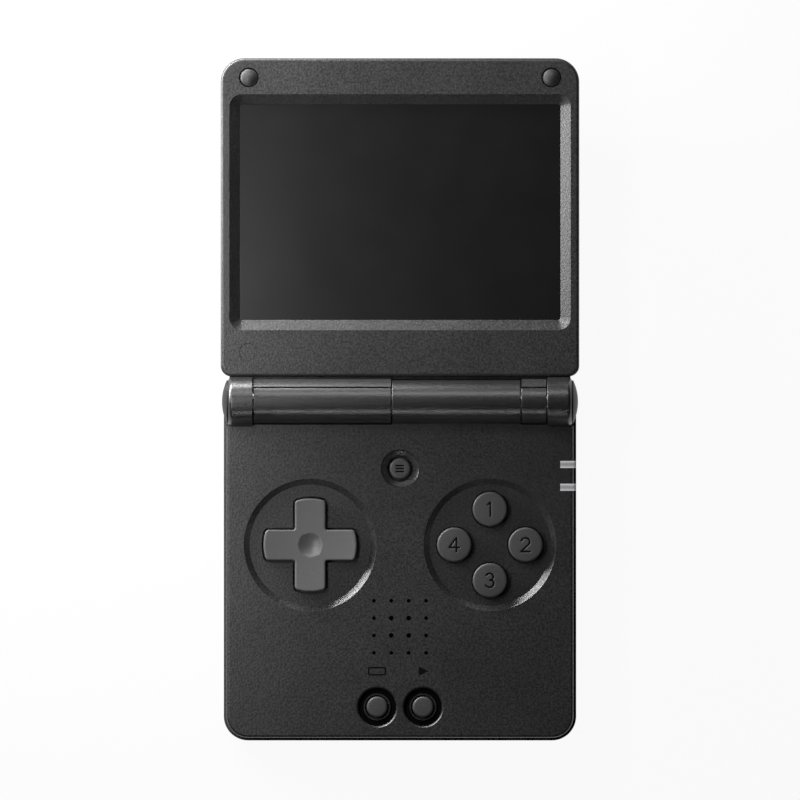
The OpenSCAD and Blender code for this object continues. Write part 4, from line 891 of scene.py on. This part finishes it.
def arc_band(name, span, outer, start, stop, finish, body):
    """A raised band along the barrel between two angles, as one closed solid."""
    x0, x1 = span[0] + END_GAP, span[1] - END_GAP
    inner = BARREL_R - SLEEVE_T
    turns = [math.radians(start + (stop - start) * i / ARC_STEPS) for i in range(ARC_STEPS + 1)]
    section = [off_axis(outer, a) for a in turns] + [off_axis(inner, a) for a in reversed(turns)]
    verts, faces = [], []
    near = add_ring([(x0, y, z) for y, z in section], verts)
    far = add_ring([(x1, y, z) for y, z in section], verts)
    skin_stack([near, far], verts, faces, close_end=False)
    for i in range(ARC_STEPS):
        j = len(section) - 1 - i
        faces.append((near[i], near[i + 1], near[j - 1], near[j]))
        faces.append((far[j], far[j - 1], far[i + 1], far[i]))
    make_piece(name, verts, faces, finish, body, 40.0)


# The end caps; lengths are distances from the middle of the console along X
CAP_INNER = 35.25
CAP_SHELL_END = 41.1
CAP_BORE_END = 41.04
CAP_TIP = 42.55
CAP_R = 5.86
CAP_RIM = 0.1
CAP_SHOULDER = 1.0
SHOULDER_STEPS = 10
CAP_BORES = {"left": 2.45, "right": 3.65}
CAP_INSERT_R = 5.1
CAP_SEAT = 0.5
CAP_DOME_R = 12.0
DOME_STEPS = 12
# The insert's root inside the shell, and the broken edge of its dome
INSERT_ROOT = 0.05
INSERT_EDGE = 0.1
INSERT_BREAKS = (0.12, 0.03)


def cap_shell(side, sign, finish):
    """The shell of an end cap, with its rounded shoulder and its bore."""
    bore = CAP_BORES[side]
    profile = [(CAP_INNER, bore), (CAP_INNER, CAP_R - CAP_RIM), (CAP_INNER + CAP_RIM, CAP_R)]
    for i in range(SHOULDER_STEPS + 1):
        a = math.radians(90 * i / SHOULDER_STEPS)
        profile.append((CAP_SHELL_END - CAP_SHOULDER + CAP_SHOULDER * math.sin(a),
                        CAP_R - CAP_SHOULDER + CAP_SHOULDER * math.cos(a)))
    profile += [(CAP_SHELL_END, CAP_INSERT_R - CAP_SEAT), (CAP_BORE_END, bore)]
    profile = [(sign * x, r) for x, r in profile]
    if sign < 0:
        profile.reverse()
    shell = lathe("cap_shell_" + side, profile, finish, "base")
    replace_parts(shell, "hinge_cap_" + side)


def cap_insert(side, sign, finish):
    """The domed insert on the end of an end cap."""
    edge_r = CAP_INSERT_R - INSERT_EDGE
    dome_centre = CAP_TIP - CAP_DOME_R
    edge = dome_centre + math.sqrt(CAP_DOME_R ** 2 - edge_r ** 2)
    lean = math.asin(edge_r / CAP_DOME_R)
    profile = [(CAP_SHELL_END - INSERT_ROOT, CAP_INSERT_R), (edge - INSERT_BREAKS[0], CAP_INSERT_R),
               (edge - INSERT_BREAKS[1], CAP_INSERT_R - INSERT_BREAKS[1])]
    for k in range(DOME_STEPS, 0, -1):
        a = lean * k / DOME_STEPS
        profile.append((dome_centre + CAP_DOME_R * math.cos(a), CAP_DOME_R * math.sin(a)))
    verts, faces = [], []
    loops = [add_ring(r, verts) for r in round_axis([(sign * x, r) for x, r in profile])]
    skin_stack(loops, verts, faces)
    faces.append(tuple(reversed(loops[0])))
    if sign > 0:
        faces = [tuple(reversed(f)) for f in faces]
    make_piece("cap_insert_" + side, verts, faces, finish, "base", 40.0)


# The web on a knuckle and the dark line of painted shade in the crease beside it; starts and stops
# are degrees round the axis
BAND_R = 5.40
BAND_START = -4.0
BAND_STOP = 48.0
CREASE_SHADE_PROUD = 0.015
CREASE_SHADE_TURN = 3.5


def hinge_skins(finishes):
    """Skins on the three lengths of the barrel, with a web and a dark line of painted shade in its
    crease on the lid's knuckles.
    """
    for name, span, body in (("knuckle_left", LEFT_KNUCKLE, "lid"),
                             ("knuckle_right", RIGHT_KNUCKLE, "lid"),
                             ("barrel_middle", MIDDLE_BARREL, "base")):
        sleeve(name + "_skin", span, finishes["barrel"], body)
        if body == "lid":
            arc_band(name + "_web", span, BAND_R, BAND_START, BAND_STOP, finishes["shell"], body)
            # Painted shade: a thin dark band lies in the crease where the web meets the knuckle
            arc_band(name + "_seam", span, BARREL_R + SLEEVE_PROUD + CREASE_SHADE_PROUD, BAND_STOP,
                     BAND_STOP + CREASE_SHADE_TURN, finishes["ink_and_painted_shade"], body)


# ---------------------------------------------------------------- small pieces


def closed_band(outer, inner, low, high, verts, faces):
    """A level band between two loops of equal length, from low to high."""
    rings = [add_ring([(x, y, z) for x, y in loop], verts)
             for loop, z in ((inner, high), (outer, high), (outer, low), (inner, low))]
    skin_stack(rings + [rings[0]], verts, faces, close_end=False)


def closed_slab(outer, low, high, place, verts, faces):
    """A plate with a convex outline, from w = low to w = high."""
    top = add_ring([place(u, v, high) for u, v in outer], verts)
    foot = add_ring([place(u, v, low) for u, v in outer], verts)
    faces.append(tuple(top))
    faces.append(tuple(reversed(foot)))
    skin_stack([top, foot], verts, faces, close_end=False)


def rounded_rect(half_u, half_v, corner, centre, steps=8):
    """A counter-clockwise loop."""
    loop = []
    for turn, (su, sv) in enumerate(((1, 1), (-1, 1), (-1, -1), (1, -1))):
        for i in range(steps + 1):
            a = math.radians(90 * (turn + i / steps))
            loop.append((centre[0] + su * (half_u - corner) + corner * math.cos(a),
                         centre[1] + sv * (half_v - corner) + corner * math.sin(a)))
    return loop


def upwards(u, v, w):
    """u runs along +X and v along +Y on a level face."""
    return (u, v, w)


def on_right_wall(u, v, w):
    """u runs along +Y and v along +Z on a wall that faces +X."""
    return (w, u, v)


def on_left_wall(u, v, w):
    """u runs along -Y and v along +Z on a wall that faces -X."""
    return (-w, -u, v)


# The two marks on the face: their row, their sizes and how they sit in the face
MARK_Y = -64.975
MARK_STROKE = 0.36
MARK_PROUD = 0.012
MARK_SUNK = 0.2
FRAME_HALF = (2.2, 1.03)
FRAME_CORNER = 0.55
ARROW_BACK = -1.0
ARROW_TIP = 1.25
ARROW_HALF = 1.1


def face_marks(finish):
    """A rounded frame over the left option button and a triangle over the right one."""
    face = box_mm("base_top_shell")[1].z
    low, high = face - MARK_SUNK, face + MARK_PROUD
    left = middle(*box_mm("option_button_left"))[0]
    right = middle(*box_mm("option_button_right"))[0]
    verts, faces = [], []
    outer = rounded_rect(*FRAME_HALF, FRAME_CORNER, (left, MARK_Y))
    closed_band(outer, inset_loop(outer, MARK_STROKE), low, high, verts, faces)
    make_piece("mark_left", verts, faces, finish, "base")
    verts, faces = [], []
    arrow = [(right + ARROW_BACK, MARK_Y - ARROW_HALF), (right + ARROW_TIP, MARK_Y),
             (right + ARROW_BACK, MARK_Y + ARROW_HALF)]
    closed_slab(arrow, low, high, upwards, verts, faces)
    make_piece("mark_right", verts, faces, finish, "base")


# The groove round an option button: its radii and depth, and the foot and top of the dark ring of
# painted shade on its floor
GROOVE = (3.3, 4.5)
GROOVE_DEPTH = 1.7
SHADE_RING_SUNK = 0.1
SHADE_RING_PROUD = 0.08
# The dark ring of painted shadow in the gap round the plug, from just under its rim
PLUG_SHADOW_LAP = 0.02
PLUG_SHADOW_OUT = 0.12
PLUG_SHADOW_DEEP = 0.2
PLUG_SHADOW_OVER = 0.006
RING_POINTS = 96


def flat_ring(name, centre, inner, outer, low, high, finish, body):
    verts, faces = [], []
    loops = [[(p[0], p[1]) for p in ring(r, 0, centre, RING_POINTS)] for r in (outer, inner)]
    closed_band(loops[0], loops[1], low, high, verts, faces)
    make_piece(name, verts, faces, finish, body)


def painted_shade_rings(finish):
    """Painted shade: dark rings on the floors of the option grooves and in the gap round the lid's
    plug.
    """
    floor_z = box_mm("base_top_shell")[1].z - GROOVE_DEPTH
    for side in ("left", "right"):
        centre = middle(*box_mm("option_button_" + side))
        # Painted shade: a dark ring lies on the groove's floor, where shade falls
        flat_ring("groove_painted_shade_" + side, centre, GROOVE[0], GROOVE[1], floor_z - SHADE_RING_SUNK,
                  floor_z + SHADE_RING_PROUD, finish, "base")
    low, high = box_mm("screw_plug")
    radius = (high.x - low.x) / 2
    # Painted shadow: a dark ring covers the gap round the plug
    flat_ring("plug_seam", middle(low, high), radius - PLUG_SHADOW_LAP, radius + PLUG_SHADOW_OUT,
              high.z - PLUG_SHADOW_DEEP, high.z + PLUG_SHADOW_OVER, finish, "lid")


# The plus and minus lie this far from the rocker's middle; the power mark is a broken ring
SIGN_OFFSET = 5.2
SIGN_HALF = 0.7
SIGN_STROKE_HALF = 0.14
SIGN_CORNER = 0.1
POWER_RADII = (0.5, 0.75)
POWER_TURN = (130, 410)
POWER_STEPS = 28
POWER_BAR = (0.13, 0.45)
POWER_BAR_UP = 0.5


def key_marks(finish):
    """A plus and a minus on the volume rocker and a broken ring on the power button."""
    low, high = box_mm("volume_rocker")
    y, z, wall_x = (low.y + high.y) / 2, (low.z + high.z) / 2, -low.x
    level, upright = (SIGN_HALF, SIGN_STROKE_HALF), (SIGN_STROKE_HALF, SIGN_HALF)
    verts, faces = [], []
    for u, bars in ((-y + SIGN_OFFSET, (level, upright)), (-y - SIGN_OFFSET, (level,))):
        for half_u, half_v in bars:
            closed_slab(rounded_rect(half_u, half_v, SIGN_CORNER, (u, z)), wall_x - MARK_SUNK,
                        wall_x + MARK_PROUD, on_left_wall, verts, faces)
    make_piece("mark_volume", verts, faces, finish, "volume_rocker")
    low, high = box_mm("power_button")
    y, z, wall_x = (low.y + high.y) / 2, (low.z + high.z) / 2, high.x
    inner, outer = [arc_line(y, z, r, r, *POWER_TURN, POWER_STEPS) for r in POWER_RADII]
    blocks = [rounded_rect(*POWER_BAR, SIGN_CORNER, (y, z + POWER_BAR_UP))]
    blocks += zip(outer, outer[1:], inner[1:], inner)
    verts, faces = [], []
    for block in blocks:
        closed_slab(block, wall_x - MARK_SUNK, wall_x + MARK_PROUD, on_right_wall, verts, faces)
    make_piece("mark_power", verts, faces, finish, "power_button")


SCREW_R = 0.8
SCREW_HEAD_R = 1.6
SCREW_HEAD_EDGE = (0.2, 0.06)
SCREW_CORE = 0.62
SCREW_NECK = 0.2
SCREW_POINT_R = 0.3
THREAD_PITCH = 0.55
THREAD_STOP = 0.4
SCREW_SEGMENTS = 32
# The cross recess: its lines, their half width, its depth as a share of the head, and its flanks
RECESS = [[(-0.8, 0.0), (0.8, 0.0)], [(0.0, -0.8), (0.0, 0.8)]]
RECESS_HALF = 0.2
RECESS_DEPTH = 0.55
RECESS_FLANK_END = 1.5
RECESS_FLANK = 0.7
# Spacing, half width of the grid, outer radius and distance to the recess of the head's points
RECESS_GRID = (0.09, 1.1, 1.15, 0.36)
HEAD_GRID = (0.3, 1.3, 1.25, 0.4)


def screw(centre, head_z, tip_z, head_h, verts, faces):
    """A screw with a cross recess and a thread; its head's top is at head_z."""
    upwards_tip = tip_z > head_z
    way = 1 if upwards_tip else -1
    length = abs(tip_z - head_z)
    edge, shoulder = SCREW_HEAD_EDGE
    rim = [(p[0], p[1]) for p in ring(SCREW_HEAD_R - edge, 0, (0, 0), SCREW_SEGMENTS)]

    def height(x, y):
        flank = (RECESS_FLANK_END - to_strokes(x, y, RECESS) / RECESS_HALF) / RECESS_FLANK
        return -RECESS_DEPTH * head_h * max(0.0, min(1.0, flank))

    step, half, reach, near = RECESS_GRID
    inner = grid_points(-half, half, -half, half, step, lambda x, y: math.hypot(x, y) < reach
                        and to_strokes(x, y, RECESS) < near)
    step, half, span, off = HEAD_GRID
    inner += grid_points(-half, half, -half, half, step, lambda x, y: math.hypot(x, y) < span
                         and to_strokes(x, y, RECESS) > off)
    local, local_faces, first = patch(rim, inner, height)
    steps = [(SCREW_HEAD_R - shoulder, -shoulder), (SCREW_HEAD_R, -edge), (SCREW_HEAD_R, -head_h),
             (SCREW_R, -head_h)]
    depth = head_h + SCREW_NECK
    while depth < length - THREAD_STOP:
        steps += [(SCREW_CORE, -depth), (SCREW_R, -depth - THREAD_PITCH / 2)]
        depth += THREAD_PITCH
    steps.append((SCREW_POINT_R, -length))
    skin_stack([first] + turned(steps, (0, 0), SCREW_SEGMENTS, local), local, local_faces)
    start = len(verts)
    verts.extend((centre[0] + x, centre[1] + y, head_z - way * z) for x, y, z in local)
    for face in local_faces:
        face = tuple(start + i for i in face)
        faces.append(tuple(reversed(face)) if upwards_tip else face)


# Where the base's screws are in plan; the heads' tops and heights, and the cover screw's tip
CASE_SCREWS = [(sign * x, y) for x, y in ((36.6, -10.075), (36.6, -49.575), (27.0, -75.525))
               for sign in (1, -1)]
CASE_HEAD_Z = 1.05
CASE_HEAD_H = 0.8
COVER_SCREW = (0.0, -10.075)
COVER_HEAD_H = 0.5
COVER_TIP_Z = 4.3


def case_screws(finish):
    """The screws of the base and of its battery cover; those of the lid are the CAD's own."""
    low, high = box_mm("case_screws")
    verts, faces = [], []
    for centre in CASE_SCREWS:
        screw(centre, CASE_HEAD_Z, high.z, CASE_HEAD_H, verts, faces)
    screw(COVER_SCREW, low.z, COVER_TIP_Z, COVER_HEAD_H, verts, faces)
    piece = make_piece("case_screw_set", verts, faces, finish, "base", 35.0)
    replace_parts(piece, "case_screws")


FOOT_R = 4.0
FOOT_EDGE = 0.3
FOOT_POINTS = 48
FOOT_TOP_R = 0.2
# The shallow ring under a foot: its bottom's height and how far in from the rim it runs
FOOT_RING_Z = 0.12
FOOT_RING = (0.9, 1.0, 1.3, 1.4)


def feet(finish):
    """Round rubber feet with a soft edge and a shallow ring."""
    low, high = box_mm("rubber_feet")
    steps = [(FOOT_TOP_R, high.z), (FOOT_R, high.z), (FOOT_R, FOOT_EDGE)]
    for lean in (22, 45, 68, 90):
        a = math.radians(lean)
        steps.append((FOOT_R - FOOT_EDGE + FOOT_EDGE * math.cos(a),
                      FOOT_EDGE - FOOT_EDGE * math.sin(a)))
    steps += [(FOOT_R - inwards, z)
              for inwards, z in zip(FOOT_RING, (low.z, FOOT_RING_Z, FOOT_RING_Z, low.z))]
    verts, faces = [], []
    for x in (low.x + FOOT_R, high.x - FOOT_R):
        for y in (low.y + FOOT_R, high.y - FOOT_R):
            rings = turned(steps, (x, y), FOOT_POINTS, verts)
            faces.append(tuple(rings[0]))
            skin_stack(rings, verts, faces)
    piece = make_piece("foot_pads", verts, faces, finish, "base", 40.0)
    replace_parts(piece, "rubber_feet")


SHOULDER_LAP = 0.6
SHOULDER_CORNER = 1.0
SHOULDER_EDGE = 0.3
SHOULDER_FLANGE_T = 0.85
SHOULDER_FLANGE_CORNER = 0.1


def shoulder_key(side, finish):
    """A shoulder button: cap with rounded edges in front of its flange."""
    node = "shoulder_" + side
    low, high = box_mm(node)
    half = ((high.x - low.x) / 2, (high.z - low.z) / 2)
    centre = (-(low.x + high.x) / 2, (low.z + SHOULDER_LAP + high.z - SHOULDER_LAP / 2) / 2)

    def wall_loop(loop, w):
        return add_ring([(-u, w, v) for u, v in loop], verts)

    outline = rounded_rect(half[0] - SHOULDER_LAP, (high.z - low.z - 1.5 * SHOULDER_LAP) / 2,
                           SHOULDER_CORNER, centre)
    verts, faces, rings = [], [], []
    for lean in range(90, -1, -15):
        a = math.radians(lean)
        rings.append(wall_loop(inset_loop(outline, SHOULDER_EDGE * (1 - math.cos(a))),
                               high.y - SHOULDER_EDGE * (1 - math.sin(a))))
    faces.append(tuple(rings[0]))
    flange_y = low.y + SHOULDER_FLANGE_T
    flange = rounded_rect(*half, SHOULDER_FLANGE_CORNER, (centre[0], (low.z + high.z) / 2))
    rings += [wall_loop(outline, flange_y), wall_loop(flange, flange_y), wall_loop(flange, low.y)]
    skin_stack(rings, verts, faces, close_end=False)
    faces.append(tuple(reversed(rings[-1])))
    piece = make_piece("key_" + side, verts, faces, finish, node, 40.0)
    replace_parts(piece, node)


# A port's tongue: how far its tip lies inside the mouth, and half its thickness
TONGUE_IN = 1.35
TONGUE_HALF = 0.35
# Its contacts: length, half width as a share of their pitch, corner, and how they sit in it
CONTACT_LENGTH = 3.0
CONTACT_SHARE = 0.27
CONTACT_CORNER = 0.05
CONTACT_SUNK = 0.05
CONTACT_PROUD = 0.02


def contacts(name, node, outward, half_width, count, finish):
    """Gold strips on both faces of a port's tongue; outward is the sign of Y at its mouth."""
    low, high = box_mm(node)
    x, z = (low.x + high.x) / 2, (low.z + high.z) / 2
    start = (high.y if outward > 0 else low.y) - outward * TONGUE_IN
    pitch = 2 * half_width / count
    verts, faces = [], []
    for i in range(count):
        mid = x - half_width + pitch * (i + 0.5)
        strip = rounded_rect(pitch * CONTACT_SHARE, CONTACT_LENGTH / 2, CONTACT_CORNER,
                             (mid, start - outward * CONTACT_LENGTH / 2), 2)
        closed_slab(strip, z + TONGUE_HALF - CONTACT_SUNK, z + TONGUE_HALF + CONTACT_PROUD, upwards,
                    verts, faces)
        closed_slab(strip, z - TONGUE_HALF - CONTACT_PROUD, z - TONGUE_HALF + CONTACT_SUNK, upwards,
                    verts, faces)
    make_piece(name, verts, faces, finish, "base")


# The jack sleeve's section as radius and distance from the jack's mouth, outwards
JACK_SECTION = [(1.78, -2.0), (1.78, -0.1), (1.86, 0.0), (2.2, 0.02), (2.3, -0.06), (2.3, -2.0)]
JACK_POINTS = 64


def jack_ring(finish):
    """The metal sleeve that shows in the headphone jack's mouth."""
    low, high = box_mm("headphone_jack")
    x, z = (low.x + high.x) / 2, (low.z + high.z) / 2
    verts, faces = [], []
    rings = [add_ring([(x + p[0], low.y - w, z + p[1]) for p in ring(r, 0, (0, 0), JACK_POINTS)],
                      verts) for r, w in JACK_SECTION]
    skin_stack(rings + [rings[0]], verts, faces, close_end=False)
    make_piece("jack_sleeve", verts, faces, finish, "base")


# The finger ribs: two groups beside the cover's screw
RIB_HALF = (5.0, 0.35)
RIB_CORNER = 0.34
RIB_PROUD = 0.16
RIB_BEVEL = 0.18
RIB_SUNK = 0.2
RIB_PITCH = 1.4
RIB_COUNT = 4
RIB_X = 14.0
RIB_FROM_EDGE = 3.0


def cover_ribs(finish):
    """Finger ribs on the battery cover, beside its screw."""
    low, high = box_mm("battery_cover")
    verts, faces = [], []
    for x in (-RIB_X, RIB_X):
        for i in range(RIB_COUNT):
            outline = rounded_rect(*RIB_HALF, RIB_CORNER,
                                   (x, high.y - RIB_FROM_EDGE - RIB_PITCH * i), 5)
            top, foot, root = [add_ring([(u, v, z) for u, v in loop], verts) for loop, z in
                               ((inset_loop(outline, RIB_BEVEL), low.z - RIB_PROUD),
                                (outline, low.z), (outline, low.z + RIB_SUNK))]
            faces.append(tuple(reversed(top)))
            faces.append(tuple(root))
            skin_stack([root, foot, top], verts, faces, close_end=False)
    make_piece("cover_ribs", verts, faces, finish, "base")


# ---------------------------------------------------------------- everything

make_camera()
make_lights()
make_world()
make_floor()
FINISHES = make_finishes()
dress_nodes(FINISHES)

for number, side in enumerate(("top", "right", "bottom", "left"), 1):
    digit = scaled(DIGITS[number], DIGIT_HEIGHT)
    round_cap("cap_" + side, "button_" + side, FINISHES["cap"], digit)
    stroke_fill("digit_" + side, "button_" + side, digit, FINISHES["ink_and_painted_shade"])
bars = scaled(MENU_BARS, MENU_MARK_HEIGHT)
round_cap("cap_menu", "menu_button", FINISHES["cap"], bars, LOW_CROWN)
stroke_fill("menu_bars", "menu_button", bars, FINISHES["ink_and_painted_shade"])
for side in ("left", "right"):
    round_cap("cap_option_" + side, "option_button_" + side, FINISHES["cap"], (), LOW_CROWN)
direction_pad(FINISHES["pad"])
face_marks(FINISHES["ink_and_painted_shade"])
painted_shade_rings(FINISHES["ink_and_painted_shade"])
hinge_skins(FINISHES)
for side, sign in (("left", -1), ("right", 1)):
    cap_shell(side, sign, FINISHES["barrel"])
    cap_insert(side, sign, FINISHES["insert"])
key_marks(FINISHES["ink_and_painted_shade"])
case_screws(FINISHES["steel"])
feet(FINISHES["rubber"])
for side in ("left_outer", "left_inner", "right_inner", "right_outer"):
    shoulder_key(side, FINISHES["edge_key"])
contacts("charge_contacts", "charge_port", -1, 3.1, 12, FINISHES["gold"])
contacts("data_contacts", "data_port", 1, 3.1, 12, FINISHES["gold"])
contacts("video_contacts", "video_port", 1, 3.8, 10, FINISHES["gold"])
jack_ring(FINISHES["steel"])
cover_ribs(FINISHES["shell"])

bpy.context.scene.view_settings.view_transform = "Standard"
